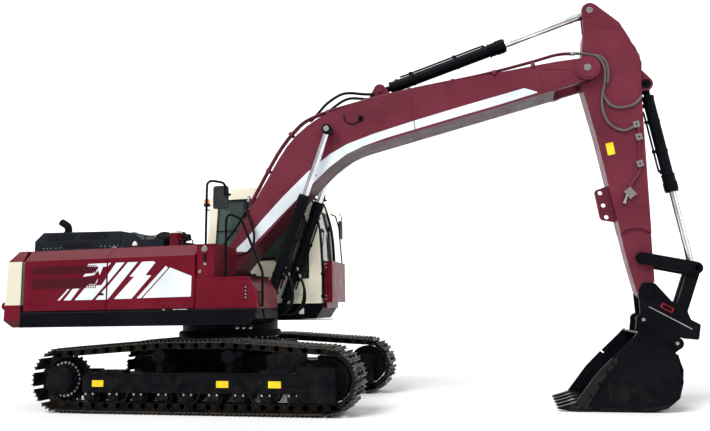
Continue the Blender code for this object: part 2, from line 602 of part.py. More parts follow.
def cab():
    """The hollow cab with its door, panes and seat."""
    wall = CAB_WALL
    side_window = rounded([(-0.52, SILL, 0.05), (0.60, SILL, 0.05), (0.86, 1.95, 0.05), (1.20, 1.95, 0.05),
                           (1.20, 2.80, 0.10), (0.98, 3.38, 0.10), (-0.46, 3.38, 0.05)])
    door = rounded([(CAB_DOOR_REAR, CAB_DOOR_BOTTOM, 0.04), (CAB_DOOR_FRONT, CAB_DOOR_BOTTOM, 0.04),
                    (CAB_DOOR_FRONT, 2.75, 0.3), (CAB_DOOR_FRONT - 0.22, CAB_DOOR_TOP, 0.12),
                    (CAB_DOOR_REAR, CAB_DOOR_TOP, 0.04)])
    door_hole = rounded([(CAB_DOOR_REAR - RUN, CAB_DOOR_BOTTOM - RUN, 0.04),
                         (CAB_DOOR_FRONT + RUN, CAB_DOOR_BOTTOM - RUN, 0.04),
                         (CAB_DOOR_FRONT + RUN, 2.755, 0.3),
                         (CAB_DOOR_FRONT - 0.217, CAB_DOOR_TOP + RUN, 0.12),
                         (CAB_DOOR_REAR - RUN, CAB_DOOR_TOP + RUN, 0.04)])
    door_window = rounded([(CAB_DOOR_REAR + 0.08, 2.10, 0.05), (CAB_DOOR_FRONT - 0.08, 2.10, 0.05),
                           (CAB_DOOR_FRONT - 0.08, 2.72, 0.3),
                           (CAB_DOOR_FRONT - 0.28, CAB_DOOR_TOP - 0.08, 0.10),
                           (CAB_DOOR_REAR + 0.08, CAB_DOOR_TOP - 0.08, 0.05)])
    left_pane = rounded([(-0.52, SILL, 0.05), (-0.04, SILL, 0.05), (-0.04, 3.38, 0.05), (-0.46,
        3.38, 0.05)])
    inside = (CAB_RIGHT + wall, CAB_LEFT - wall)
    front_low, front_high = 1.64, 3.16
    cuts = [prism(cab_profile(wall), "Y", *inside),
            prism(side_window, "Y", CAB_RIGHT - 0.1, CAB_RIGHT + 0.1),
            prism(door_hole, "Y", CAB_LEFT - 0.1, CAB_LEFT + 0.0001),
            prism(left_pane, "Y", CAB_LEFT - 0.1, CAB_LEFT + 0.1),
            box((CAB_FRONT - 0.40, CAB_FRONT + 0.1), (inside[0] + 0.02, inside[1] - 0.02),
                (front_low, front_high)),
            box((CAB_REAR - 0.1, CAB_REAR + 0.14), (inside[0] + 0.05, inside[1] - 0.05), (2.40, 3.30))]
    brackets = [box((CAB_DOOR_REAR - 0.06, CAB_DOOR_REAR - 0.002), (CAB_LEFT - 0.02, CAB_LEFT + 0.026),
                    (z - 0.04, z - GAP)) for z in HINGE_ZS]
    solid("cab_shell", "cab_cream", [prism(cab_profile(0), "Y", CAB_RIGHT, CAB_LEFT)] + brackets, cuts)
    hinge = (CAB_DOOR_REAR - 0.015, CAB_LEFT + 0.014)
    leaves = []
    for z in HINGE_ZS:
        leaves.append(rod((*hinge, z), (*hinge, z + 0.10), 0.012, 10))
        leaves.append(box((hinge[0], CAB_DOOR_REAR + 0.05), (CAB_LEFT + 0.006, CAB_LEFT + 0.014),
            (z, z + 0.10)))
        leaves.append(box((CAB_DOOR_REAR + 0.005, CAB_DOOR_REAR + 0.05), (CAB_LEFT - 0.005,
            CAB_LEFT + 0.010),
                          (z, z + 0.10)))
    solid("cab_door", "cab_cream", [prism(door, "Y", CAB_LEFT - wall + 0.005, CAB_LEFT)] + leaves,
          [prism(door_window, "Y", CAB_LEFT - 0.1, CAB_LEFT + 0.004)], pivot=(*hinge, CAB_DOOR_BOTTOM))
    middle = CAB_RIGHT + wall / 2
    solid("right_window", "cab_glass", [prism(shrunk(side_window), "Y", middle, middle + GLASS)])
    middle = CAB_LEFT - wall / 2
    solid("left_window", "cab_glass", [prism(shrunk(left_pane), "Y", middle, middle + GLASS)])
    solid("door_window", "cab_glass", [prism(shrunk(door_window), "Y", middle, middle + GLASS)])
    shell_front = prism(cab_profile(0.030), "Y", inside[0] + 0.02 + GAP, inside[1] - 0.02 - GAP)
    keep_low = box((-3, 3), (-3, 3), (-1, front_low + GAP))
    keep_high = box((-3, 3), (-3, 3), (front_high - GAP, 5))
    behind = prism(cab_profile(0.030 + GLASS), "Y", -3, 3)
    solid("windshield", "cab_glass", [shell_front],
          [behind, keep_low, keep_high, box((-3, CAB_FRONT - 0.40), (-3, 3), (-1, 5))])
    solid("rear_window", "cab_glass",
          [box((CAB_REAR + 0.030, CAB_REAR + 0.030 + GLASS), (inside[0] + 0.05 + GAP,
              inside[1] - 0.05 - GAP),
               (2.40 + GAP, 2.62))])
    middle = (CAB_RIGHT + CAB_LEFT) / 2
    floor = CAB_FLOOR + wall + GAP
    solid("seat_base", "grey_plastic",
          [box((-0.20, 0.32), (middle - 0.20, middle + 0.20), (floor, floor + 0.30)),
           box((-0.05, 0.42), (middle - 0.36, middle - 0.19), (floor + 0.10, floor + 0.52)),
           box((-0.05, 0.42), (middle + 0.19, middle + 0.33), (floor + 0.10, floor + 0.52))])
    solid("seat_cushion", "seat_cloth",
          [box((-0.18, 0.36), (middle - 0.18, middle + 0.18), (floor + 0.30 + GAP, floor + 0.44))])
    solid("seat_back", "seat_cloth",
          [prism([(-0.18 - GAP, floor + 0.30 + GAP), (-0.18 - GAP, floor + 0.42), (-0.24, floor + 1.10),
                  (-0.38, floor + 1.10), (-0.32, floor + 0.30 + GAP)], "Y", middle - 0.18, middle + 0.18)])


def shrunk(outline):
    """The outline drawn in by the touching gap, for a pane in its frame."""
    centre = sum((Vector(p) for p in outline), Vector((0, 0))) / len(outline)
    low = Vector((min(p[0] for p in outline), min(p[1] for p in outline)))
    high = Vector((max(p[0] for p in outline), max(p[1] for p in outline)))
    half = (high - low) / 2
    scale = Vector(((half.x - 2 * GAP) / half.x, (half.y - 2 * GAP) / half.y))
    return [tuple(centre + Vector(((p[0] - centre.x) * scale.x, (p[1] - centre.y) * scale.y)))
            for p in outline]


def fittings():
    """The front locker, handrails and mirrors."""
    solid("front_locker", "body_red",
          [box((LOCKER_REAR, LOCKER_FRONT), (CAB_RIGHT + 0.01, CAB_LEFT - 0.04), (LOCKER_BOTTOM,
              LOCKER_TOP)),
           box((CAB_FRONT + 0.03 + GAP, LOCKER_REAR + 0.01), (CAB_RIGHT + 0.10, CAB_LEFT - 0.10),
               (LOCKER_BOTTOM - 0.1, LOCKER_BOTTOM + 0.02))])
    y = -HALF_WIDTH + 0.16
    rear_rail = bent([(0.16, y, TOWER_TOP + GAP), (0.17, y, 3.38), (0.42, y + 0.1, 3.34), (0.42,
        y + 0.1, 3.15)],
                     0.09)
    solid("right_handrail", "frame_black", [tube(rear_rail, RAIL_R)])
    solid("right_mirror", "grey_plastic",
          [box((0.20, 0.44), (y + 0.10 + RAIL_R + GAP, y + 0.10 + RAIL_R + 0.07), (2.96, 3.31))])
    front_rail = bent([(TANK_FRONT + RAIL_R + GAP, y, DECK_TOP + 0.03), (TANK_FRONT + RAIL_R + GAP,
        y, 1.98),
                       (0.72, y, 2.76), (0.48, y, 2.90), (0.48, y, TANK_TOP + GAP)], 0.10)
    solid("front_handrail", "frame_black", [tube(front_rail, RAIL_R)])
    y = CAB_LEFT - 0.06
    left_rail = bent([(LOCKER_FRONT - 0.05, y, LOCKER_TOP + 0.0015), (1.50, y, 2.90), (1.44, y, 3.12),
                      (CAB_FRONT - 0.06, y, 3.16)], 0.06)
    solid("left_handrail", "frame_black", [tube(left_rail, 0.014)])
    solid("left_mirror", "grey_plastic",
          [box((1.5315, 1.575), (y - 0.16, y + 0.04), (2.68, 3.02))])


# ---------------------------------------------------------------- working equipment
def boom():
    """The boom with its forked tip and the lugs for the arm cylinder."""
    top_out = (-BOOM_FOOT_R * math.sin(math.radians(34)), BOOM_FOOT_R * math.cos(math.radians(34)))
    length = BOOM_LENGTH
    side = [on_boom(*top_out), (*on_boom(2.225, 1.603), 1.70), (*on_boom(3.865, 1.154), 3.0),
            (*on_boom(length - 0.32, 0.325), 0.40), on_boom(length, BOOM_TIP_R - 0.005),
            on_boom(length, -BOOM_TIP_R + 0.01), (*on_boom(length - 0.60, -0.04), 0.60),
            (*on_boom(2.499, 0.756), 1.50), (*on_boom(0.72, 0.14), 0.5),
            on_boom(0.04, -BOOM_FOOT_R + 0.01)]
    shapes = [prism(rounded(side), "Y", -BOOM_HALF, BOOM_HALF),
              cross_pin(BOOM_FOOT, -BOOM_HALF, BOOM_HALF, BOOM_FOOT_R),
              cross_pin(BOOM_TIP, -BOOM_HALF - 0.015, BOOM_HALF + 0.015, BOOM_TIP_R),
              cross_pin(BOOM_ROD_PIN, -BOOM_HALF - BOSS_OUT, BOOM_HALF + BOSS_OUT, 0.13)]
    eye = EYE_HALF + 0.012
    lug = belt([(*ARM_CYL_BASE, 0.10), (*on_boom(3.15, 1.20), 0.05), (*on_boom(3.66, 1.05), 0.05)])
    for s in (-1, 1):
        shapes.append(prism(lug, "Y", *sorted((s * eye, s * (eye + 0.045)))))
    cuts = [prism(circle(BOOM_TIP, FORK_DEPTH, 36), "Y", -FORK_HALF, FORK_HALF),
            prism(bore(BOOM_FOOT, BOOM_PIN_R), "Y", -1, 1)]
    solid("boom", "body_red", shapes, cuts, pivot=(BOOM_FOOT[0], 0, BOOM_FOOT[1]))
    pins = bpy.data.objects["boom"]
    add_to(pins, [cross_pin(BOOM_TIP, -BOOM_HALF - 0.05, BOOM_HALF + 0.05, ARM_PIN_R, PIN_SIDES),
                  cross_pin(ARM_CYL_BASE, -eye - 0.07, eye + 0.07, SMALL_PIN_R, PIN_SIDES)])


def add_to(piece, shapes):
    """Join more closed shapes, given in the model's frame, to a finished piece."""
    shift = piece.location.copy()
    for shape in shapes:
        bmesh.ops.translate(shape, verts=shape.verts, vec=-shift)
        tool = as_object("added", shape)
        tool.location = shift
        tool.parent = ROOT
        modifier = piece.modifiers.new("union", "BOOLEAN")
        modifier.operation = "UNION"
        modifier.object = tool
        graph = bpy.context.evaluated_depsgraph_get()
        mesh = bpy.data.meshes.new_from_object(piece.evaluated_get(graph))
        piece.modifiers.clear()
        piece.data = mesh
        bpy.data.objects.remove(tool)


def arm():
    """The arm, its top fork for the cylinder's rod and its lug for the bucket cylinder."""
    n = ARM_LENGTH
    body = [(*on_arm(-0.62, 0.10), 0.05), (*on_arm(-0.50, 0.62), 0.15), (*on_arm(-0.147, 0.749), 0.1),
            on_arm(0.10, 0.77), (*on_arm(0.50, 0.66), 0.08), (*on_arm(n - 0.11, 0.132), 0.0),
            on_arm(n - 0.02, -0.136), (*on_arm(n - 0.50, -0.149), 0.3), (*on_arm(1.006, -0.114), 0.3),
            (*on_arm(0.17, -0.13), 0.1), (*on_arm(-0.304, 0.005), 0.2)]
    ear = belt([(*ARM_ROD_PIN, 0.12), (*on_arm(-0.60, 0.60), 0.05), (*on_arm(-0.45, 0.15), 0.06),
                (*on_arm(-0.30, 0.68), 0.05)])
    cyl_ear = belt([(*BUCKET_CYL_BASE, 0.10), (*on_arm(0.44, 0.52), 0.05), (*on_arm(0.10, 0.66), 0.05)])
    shapes = [prism(rounded(body), "Y", -ARM_HALF, ARM_HALF),
              cross_pin(BOOM_TIP, -ARM_HALF - 0.012, ARM_HALF + 0.012, 0.18),
              cross_pin(ARM_TIP, -ARM_TIP_HALF, ARM_TIP_HALF, ARM_TIP_R)]
    eye = EYE_HALF + 0.012
    for s in (-1, 1):
        shapes.append(prism(ear, "Y", *sorted((s * eye, s * (eye + 0.06)))))
        shapes.append(prism(cyl_ear, "Y", *sorted((s * eye, s * (eye + 0.05)))))
    lug = rounded([on_arm(1.75, -0.10), (*on_arm(1.78, -0.32), 0.04), (*on_arm(2.22, -0.34), 0.06),
                   on_arm(2.32, -0.10)])
    shapes.append(prism(lug, "Y", -0.03, 0.03))
    cuts = [prism(bore(BOOM_TIP, ARM_PIN_R), "Y", -1, 1),
            prism(circle(on_arm(-0.90, 0.30), 0.34), "Y", -eye, eye),
            prism(circle(on_arm(0.42, 0.80), 0.22), "Y", -eye, eye)]
    for s in (-1, 1):
        cuts.append(prism(belt([(*ARM_TIP, 0.20), (*on_arm(n - 0.58, 0.0), 0.34)]), "Y",
                          *sorted((s * ARM_TIP_HALF, s * (ARM_HALF + 0.1)))))
    for along in (1.83, 2.02, 2.20):
        cuts.append(prism(circle(on_arm(along, -0.245), 0.032, 16), "Y", -0.1, 0.1))
    solid("arm", "body_red", shapes, cuts, pivot=(BOOM_TIP[0], 0, BOOM_TIP[1]))
    add_to(bpy.data.objects["arm"],
           [cross_pin(BUCKET_CYL_BASE, -eye - 0.06, eye + 0.06, SMALL_PIN_R, PIN_SIDES),
            cross_pin(GUIDE_PIN, -0.285, 0.285, SMALL_PIN_R, PIN_SIDES),
            cross_pin(ARM_TIP, -0.245, 0.245, ARM_PIN_R, PIN_SIDES)])


def cylinder(name, base, tip, y, radius, rod_radius, gland, inside, stub=None):
    """A barrel with its eye on the base pin and a rod with its eye at the tip.

    gland is the barrel's end, from the base pin, and inside is how much rod it holds when parked.
    """
    start, end = Vector(base), Vector(tip)
    ahead = (end - start).normalized()
    length = (end - start).length

    def at(distance):
        p = start + ahead * distance
        return (p.x, y, p.y)

    low, high = y - EYE_HALF, y + EYE_HALF
    barrel = [prism(circle(base, EYE_R), "Y", low, high),
              rod(at(EYE_R * 0.6), at(BARREL_START + 0.02), EYE_HALF - 0.004, SIDES),
              rod(at(BARREL_START), at(gland), radius),
              rod(at(gland - 0.20), at(gland + 0.02), radius * 1.13)]
    cuts = [prism(bore(base, SMALL_PIN_R), "Y", low - 1, high + 1),
            rod(at(BARREL_START + 0.05), at(gland + 0.1), rod_radius + 0.0008)]
    solid(name, "frame_black", barrel, cuts, pivot=(base[0], y, base[1]))
    shank = [rod(at(gland - inside), at(length - EYE_R * 0.8), rod_radius),
             prism(circle(tip, EYE_R - 0.01), "Y", low, high)]
    if stub:
        shank.append(prism(circle(tip, SMALL_PIN_R), "Y", *stub))
    solid(name.replace("cylinder", "rod"), "chrome_rod", shank, pivot=(tip[0], y, tip[1]))


def cylinders():
    """The two boom cylinders, the arm cylinder and the bucket cylinder."""
    inner = BOOM_HALF + BOSS_OUT + RUN
    outer = BOOM_CYL_Y + EYE_HALF + 0.035
    for side, name in ((1, "left"), (-1, "right")):
        cylinder("boom_cylinder_" + name, BOOM_CYL_BASE, BOOM_ROD_PIN, side * BOOM_CYL_Y,
                 BOOM_CYL_R, BOOM_ROD_R, BOOM_GLAND, BOOM_INSIDE, sorted((side * inner, side * outer)))
    cylinder("arm_cylinder", ARM_CYL_BASE, ARM_ROD_PIN, 0, ARM_CYL_R, ARM_ROD_R, ARM_GLAND,
             ARM_INSIDE)
    cylinder("bucket_cylinder", BUCKET_CYL_BASE, LINK_PIN_AT, 0, BUCKET_CYL_R,
             BUCKET_ROD_R, BUCKET_GLAND, BUCKET_INSIDE)


def linkage():
    """The guide links, the bucket link, the quick coupler and the bucket."""
    guide_in = ARM_TIP_HALF + COUPLER_PLATE + 2 * RUN
    for side, name in ((1, "left"), (-1, "right")):
        at = sorted((side * guide_in, side * (guide_in + 0.045)))
        plate = belt([(*GUIDE_PIN, 0.085), (*LINK_PIN_AT, 0.085)])
        solid("guide_link_" + name, "cast_iron",
              [prism(plate, "Y", *at),
               prism(circle(LINK_PIN_AT, SMALL_PIN_R), "Y",
                     *sorted((side * (guide_in + 0.01), side * (guide_in + 0.075))))],
              [prism(bore(GUIDE_PIN, SMALL_PIN_R), "Y", -1, 1)],
              pivot=(GUIDE_PIN[0], side * guide_in, GUIDE_PIN[1]))
    link_half = ARM_TIP_HALF
    plate = belt([(*LINK_PIN_AT, LINK_R), (*COUPLER_PIN_AT, LINK_R)])
    solid("bucket_link", "cast_iron",
          [prism(plate, "Y", EYE_HALF + RUN, link_half), prism(plate, "Y", -link_half, -EYE_HALF - RUN),
           prism(circle(COUPLER_PIN_AT, LINK_R), "Y", -link_half, link_half),
           prism(circle(LINK_PIN_AT, 0.060), "Y", EYE_HALF + RUN, guide_in - RUN),
           prism(circle(LINK_PIN_AT, 0.060), "Y", -guide_in + RUN, -EYE_HALF - RUN)],
          [prism(bore(COUPLER_PIN_AT, SMALL_PIN_R), "Y", -1, 1)],
          pivot=(COUPLER_PIN_AT[0], 0, COUPLER_PIN_AT[1]))
    plate_in = ARM_TIP_HALF + RUN
    plate_out = plate_in + COUPLER_PLATE
    sheet = rounded([moved(ARM_TIP, (-0.13, -0.03)), (*moved(ARM_TIP, (-0.06, 0.13)), 0.06),
                     (*moved(ARM_TIP, (0.10, 0.12)), 0.06), moved(ARM_TIP, (0.30, -0.14)),
                     (*moved(ARM_TIP, (0.48, -0.24)), 0.05), (*moved(ARM_TIP, (0.53, -0.40)), 0.04),
                     (*moved(ARM_TIP, (0.65, -0.47)), 0.02), (*moved(ARM_TIP, (0.61, -0.68)), 0.03),
                     moved(ARM_TIP, (0.42, -0.66)), moved(ARM_TIP, (0.20, -0.60)),
                     moved(ARM_TIP, (-0.12, -0.36))])
    core = rounded([moved(ARM_TIP, (-0.10, -0.29)), moved(ARM_TIP, (0.10, -0.26)),
                    moved(ARM_TIP, (0.27, -0.46)), moved(ARM_TIP, (0.60, -0.50)),
                    moved(ARM_TIP, (0.58, -0.64)), moved(ARM_TIP, (0.20, -0.58)),
                    moved(ARM_TIP, (0.0, -0.44))])
    coupler = [prism(sheet, "Y", plate_in, plate_out), prism(sheet, "Y", -plate_out, -plate_in),
               prism(core, "Y", -plate_in - 0.01, plate_in + 0.01)]
    round_cut = [prism(bore(FRONT_PIN_AT, SMALL_PIN_R), "Y", -1, 1),
                 prism(bore(REAR_PIN_AT, SMALL_PIN_R), "Y", -1, 1),
                 prism(bore(ARM_TIP, ARM_PIN_R), "Y", -1, 1)]
    solid("quick_coupler", "frame_black", coupler, round_cut, pivot=(ARM_TIP[0], 0, ARM_TIP[1]))
    add_to(bpy.data.objects["quick_coupler"],
           [cross_pin(COUPLER_PIN_AT, -plate_out - 0.003, plate_out + 0.003, SMALL_PIN_R, PIN_SIDES)])
    bucket(plate_out + 0.004)


def bucket(ear_in):
    """The bucket: side plates, a curved wrapper, ears for the coupler, side cutters and teeth."""
    top, heel = moved(ARM_TIP, (-0.24, -0.54)), moved(ARM_TIP, (0.22, -0.82))
    lip = (5.36, 0.002)
    t = BUCKET_PLATE
    outer = rounded([top, (*heel, 0.12), (6.69, 0.002, 0.44), lip, (5.30, 0.05), (5.62, 0.42, 0.2)])
    inner = rounded([(top[0] - 0.30, top[1] + 0.14), moved(top, (0.02, -t - 0.012)),
                     (heel[0] - 0.025, heel[1] - t - 0.01, 0.10), (6.69 - t, 0.002 + t, 0.42),
                     (5.42, 0.002 + t), (4.9, 0.30), (5.0, 1.5)])
    ears = belt([(*FRONT_PIN_AT, 0.085), (*REAR_PIN_AT, 0.085), (*moved(top, (0.06, -0.06)), 0.04),
                 (*moved(heel, (-0.02, -0.03)), 0.05)])
    half = BUCKET_HALF
    shapes = [prism(outer, "Y", -half, half)]
    hollow = [prism(inner, "Y", -half + t, half - t)]
    for s in (-1, 1):
        at = sorted((s * ear_in, s * (ear_in + 0.05)))
        shapes.append(prism(ears, "Y", *at))
        cutter = rounded([(5.40, 0.03), (5.27, 0.10), (5.58, 0.50), (5.80, 0.72), (5.88, 0.66)])
        shapes.append(prism(cutter, "Y", *sorted((s * (half - 0.012), s * (half + 0.022)))))
    reach = 2 * half / (TOOTH_COUNT - 1)
    for i in range(TOOTH_COUNT):
        y = (i - (TOOTH_COUNT - 1) / 2) * reach * 0.93
        tooth = rounded([(5.46, 0.002 + t + 0.03), (5.30, 0.125), (5.06, 0.055), (5.05, 0.035),
            (5.28, 0.004),
                         (5.46, 0.004)])
        shapes.append(prism(tooth, "Y", y - 0.05, y + 0.05))
    solid("bucket", "frame_black", shapes, hollow, pivot=(ARM_TIP[0], 0, ARM_TIP[1]))
    add_to(bpy.data.objects["bucket"],
           [cross_pin(FRONT_PIN_AT, -ear_in - 0.07, ear_in + 0.07, SMALL_PIN_R, PIN_SIDES),
            cross_pin(REAR_PIN_AT, -ear_in - 0.07, ear_in + 0.07, SMALL_PIN_R, PIN_SIDES)])


# ---------------------------------------------------------------- whole machine
def settle():
    """Bring the middle of the machine's footprint to the origin."""
    bpy.context.view_layer.update()
    corners = [o.matrix_world @ Vector(c) for o in bpy.data.objects if o.type == "MESH" for c in o.bound_box]
    low = [min(c[i] for c in corners) for i in range(3)]
    high = [max(c[i] for c in corners) for i in range(3)]
    ROOT.location = (-(low[0] + high[0]) / 2, -(low[1] + high[1]) / 2, -low[2])


for old in list(bpy.data.objects):
    bpy.data.objects.remove(old)
ROOT = bpy.data.objects.new("excavator_frame", None)
bpy.context.collection.objects.link(ROOT)
undercarriage()
revolving_frame()
house()
cab()
fittings()
boom()
arm()
cylinders()
linkage()
settle()
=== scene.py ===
import math

import bmesh
import bpy
from mathutils import Matrix, Vector


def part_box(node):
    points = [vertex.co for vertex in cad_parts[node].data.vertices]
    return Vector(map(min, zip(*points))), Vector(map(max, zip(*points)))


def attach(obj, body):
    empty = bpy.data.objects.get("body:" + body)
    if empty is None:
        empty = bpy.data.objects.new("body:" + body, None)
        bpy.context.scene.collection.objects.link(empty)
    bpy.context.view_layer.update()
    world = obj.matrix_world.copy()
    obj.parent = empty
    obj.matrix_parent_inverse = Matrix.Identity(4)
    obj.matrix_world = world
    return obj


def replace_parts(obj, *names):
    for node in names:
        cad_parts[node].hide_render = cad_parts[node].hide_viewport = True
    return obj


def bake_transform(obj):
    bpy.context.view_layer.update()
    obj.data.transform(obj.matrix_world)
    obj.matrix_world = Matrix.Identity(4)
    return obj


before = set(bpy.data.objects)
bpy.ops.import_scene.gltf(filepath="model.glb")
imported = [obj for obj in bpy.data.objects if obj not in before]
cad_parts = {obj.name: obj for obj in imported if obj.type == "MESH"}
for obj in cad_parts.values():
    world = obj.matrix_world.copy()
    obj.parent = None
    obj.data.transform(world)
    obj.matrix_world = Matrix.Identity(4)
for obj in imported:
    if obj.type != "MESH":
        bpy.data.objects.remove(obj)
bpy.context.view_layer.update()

bl_info = {
    "name": "Crawler excavator",
    "version": (1, 0, 0),
    "blender": (4, 5, 0),
    "location": "View3D > Sidebar > Excavator",
    "description": "Builds the finish, fittings and studio of a tracked excavator around its solid frame",
    "category": "Add Mesh",
}

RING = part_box("swing_bearing")
SLEW_X = (RING[0].x + RING[1].x) / 2

# The shapes below are drawn about the slewing axis, X forward, Y to the machine's left, metres.
BOOM_FOOT = Vector((0.04, 0, 2.09))
BOOM_ANGLE = math.radians(26.16)
BOOM_LENGTH = 6.395
ARM_ANGLE = math.radians(-79.56)
ARM_LENGTH = 3.366
TRACK_Y = 1.26
LINE_HALF = 1.46
AXLE_Z = 0.475
ROOF_Z = 2.419
BOOM_HALF = 0.285
ARM_HALF = 0.200
BUCKET_HALF = 0.65
BOOM_CYL_Y = 0.392
CAMERA_PLACE = (4.4987, -10.3475, 1.4499)
CAMERA_TURN = (12.896, 7.868, -1.086)


def on_boom(along, up, y=0.0):
    """A point by its place along the boom's line from foot to tip, and above it."""
    c, s = math.cos(BOOM_ANGLE), math.sin(BOOM_ANGLE)
    return BOOM_FOOT + Vector((along * c - up * s, y, along * s + up * c))


BOOM_TIP = on_boom(BOOM_LENGTH, 0)


def on_arm(along, out, y=0.0):
    """A point by its place along the arm's line from pivot to tip, and out from the machine."""
    c, s = math.cos(ARM_ANGLE), math.sin(ARM_ANGLE)
    return BOOM_TIP + Vector((along * c - out * s, y, along * s + out * c))


ARM_TIP = on_arm(ARM_LENGTH, 0)
BOOM_ROD_PIN = on_boom(2.534, 1.167)
BOOM_CYL_BASE = Vector((0.76, 0, 1.45))
ARM_CYL_BASE = on_boom(3.55, 1.42)
ARM_ROD_PIN = on_arm(-0.934, 0.284)
BUCKET_CYL_BASE = on_arm(0.406, 0.769)
GUIDE_PIN = on_arm(ARM_LENGTH - 0.472, 0.036)
LINK_PIN = ARM_TIP + Vector((0.650, 0, 0.310))
COUPLER_PIN = ARM_TIP + Vector((0.410, 0, -0.330))
BUCKET_PIN_FRONT = ARM_TIP + Vector((-0.100, 0, -0.390))
BUCKET_PIN_REAR = ARM_TIP + Vector((0.310, 0, -0.720))
DOWN = Vector((0, 0, -1))


# ---------------------------------------------------------------- mesh workshop
class Workpiece:
    """A mesh under construction, one material index for each finish it uses."""

    def __init__(self, name):
        self.name = name
        self.mesh = bmesh.new()
        self.finishes = []

    def index(self, finish):
        """The slot of a finish, added when it is new."""
        if finish not in self.finishes:
            self.finishes.append(finish)
        return self.finishes.index(finish)

    def ring(self, points):
        """New corners at the given points."""
        return [self.mesh.verts.new(p) for p in points]

    def skin(self, rings, finish, closed=True, caps=True):
        """Faces between successive rings of corners."""
        number = self.index(finish)
        faces = []
        for first, second in zip(rings, rings[1:]):
            count = len(first)
            for i in range(count if closed else count - 1):
                j = (i + 1) % count
                faces.append(self.mesh.faces.new((first[i], first[j], second[j], second[i])))
        if caps:
            faces.append(self.mesh.faces.new(list(reversed(rings[0]))))
            faces.append(self.mesh.faces.new(rings[-1]))
        for face in faces:
            face.material_index = number
        return faces

    def prism(self, outline, axis, low, high, finish):
        """An outline of two coordinates carried along an axis."""
        def place(a, b, c):
            return {"X": (c, a, b), "Y": (a, c, b), "Z": (a, b, c)}[axis]
        self.skin([self.ring([place(a, b, low) for a, b in outline]),
                   self.ring([place(a, b, high) for a, b in outline])], finish)

    def block(self, x, y, z, finish, edge=0.0):
        """A block between two values on each axis, its long edges cut by a chamfer."""
        if edge <= 0:
            outline = [(y[0], z[0]), (y[1], z[0]), (y[1], z[1]), (y[0], z[1])]
        else:
            outline = [(y[0] + edge, z[0]), (y[1] - edge, z[0]), (y[1], z[0] + edge), (y[1], z[1] - edge),
                       (y[1] - edge, z[1]), (y[0] + edge, z[1]), (y[0], z[1] - edge), (y[0], z[0] + edge)]
        self.prism(outline, "X", x[0], x[1], finish)

    def lathe(self, start, direction, profile, finish, sides=24, caps=True):
        """A turned piece: (distance along, radius) pairs about a direction."""
        way = Vector(direction).normalized()
        turn = way.to_track_quat("Z", "Y").to_matrix()
        rings = []
        for along, radius in profile:
            rings.append(self.ring([Vector(start) + turn @ Vector((
                radius * math.cos(2 * math.pi * i / sides), radius * math.sin(2 * math.pi * i / sides),
                along)) for i in range(sides)]))
        self.skin(rings, finish, caps=caps)

    def disc(self, start, direction, radius, length, finish, sides=24, edge=None):
        """A short round piece with a chamfered end."""
        cut = min(radius, length) * 0.2 if edge is None else edge
        self.lathe(start, direction, [(0, radius), (length - cut, radius), (length, radius - cut)],
                   finish, sides)

    def bolt(self, start, direction, size, finish):
        """A hexagon head on a washer, its size across the flats."""
        self.disc(start, direction, size * 0.78, size * 0.12, finish, 14)
        self.disc(Vector(start) + Vector(direction).normalized() * size * 0.10, direction,
                  size * 0.577, size * 0.45, finish, 6, size * 0.07)

    def bolt_ring(self, centre, direction, radius, count, size, finish, turn=0.0):
        """Hexagon heads evenly round a circle."""
        basis = Vector(direction).normalized().to_track_quat("Z", "Y").to_matrix()
        for i in range(count):
            angle = turn + 2 * math.pi * i / count
            at = Vector(centre) + basis @ Vector((radius * math.cos(angle), radius * math.sin(angle), 0))
            self.bolt(at, direction, size, finish)

    def tube(self, points, radius, finish, sides=10, smooth=4, ripple=0.0):
        """A round tube swept through points along one smooth line."""
        path = smooth_path(points, smooth)
        rings = []
        side = None
        for i, point in enumerate(path):
            ahead = path[min(i + 1, len(path) - 1)] - path[max(i - 1, 0)]
            ahead.normalize()
            if side is None:
                side = ahead.orthogonal().normalized()
            side = (side - ahead * side.dot(ahead)).normalized()
            other = ahead.cross(side)
            size = radius * (1 + ripple * (i % 2))
            rings.append(self.ring([point + (side * math.cos(2 * math.pi * k / sides)
                                             + other * math.sin(2 * math.pi * k / sides)) * size
                                    for k in range(sides)]))
        self.skin(rings, finish)

    def sheet(self, corners, thickness, direction, finish):
        """A flat plate on given corners, carried a thickness along a direction."""
        step = Vector(direction).normalized() * thickness
        points = [Vector(c) for c in corners]
        self.skin([self.ring(points), self.ring([p + step for p in points])], finish)

    def done(self, body, slot=None, chamfer=0.003, segments=2):
        """The finished piece, placed, shaded and carried by a body of the frame, if one is named."""
        bmesh.ops.recalc_face_normals(self.mesh, faces=self.mesh.faces[:])
        bmesh.ops.translate(self.mesh, verts=self.mesh.verts[:], vec=(SLEW_X, 0, 0))
        data = bpy.data.meshes.new(self.name)
        self.mesh.to_mesh(data)
        self.mesh.free()
        piece = bpy.data.objects.new(self.name, data)
        bpy.context.scene.collection.objects.link(piece)
        for finish in self.finishes:
            data.materials.append(finish_material(finish))
        soften(piece, chamfer, segments)
        if body:
            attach(piece, body)
        return piece


def smooth_path(points, steps):
    """Points along a smooth curve through the given ones."""
    path = [Vector(p) for p in points]
    if steps < 2 or len(path) < 3:
        return path
    dense = []
    for i in range(len(path) - 1):
        before, first = path[max(i - 1, 0)], path[i]
        second, after = path[i + 1], path[min(i + 2, len(path) - 1)]
        for k in range(steps):
            t = k / steps
            dense.append(0.5 * (2 * first + (second - before) * t
                                + (2 * before - 5 * first + 4 * second - after) * t ** 2
                                + (3 * first - before - 3 * second + after) * t ** 3))
    dense.append(path[-1])
    return dense


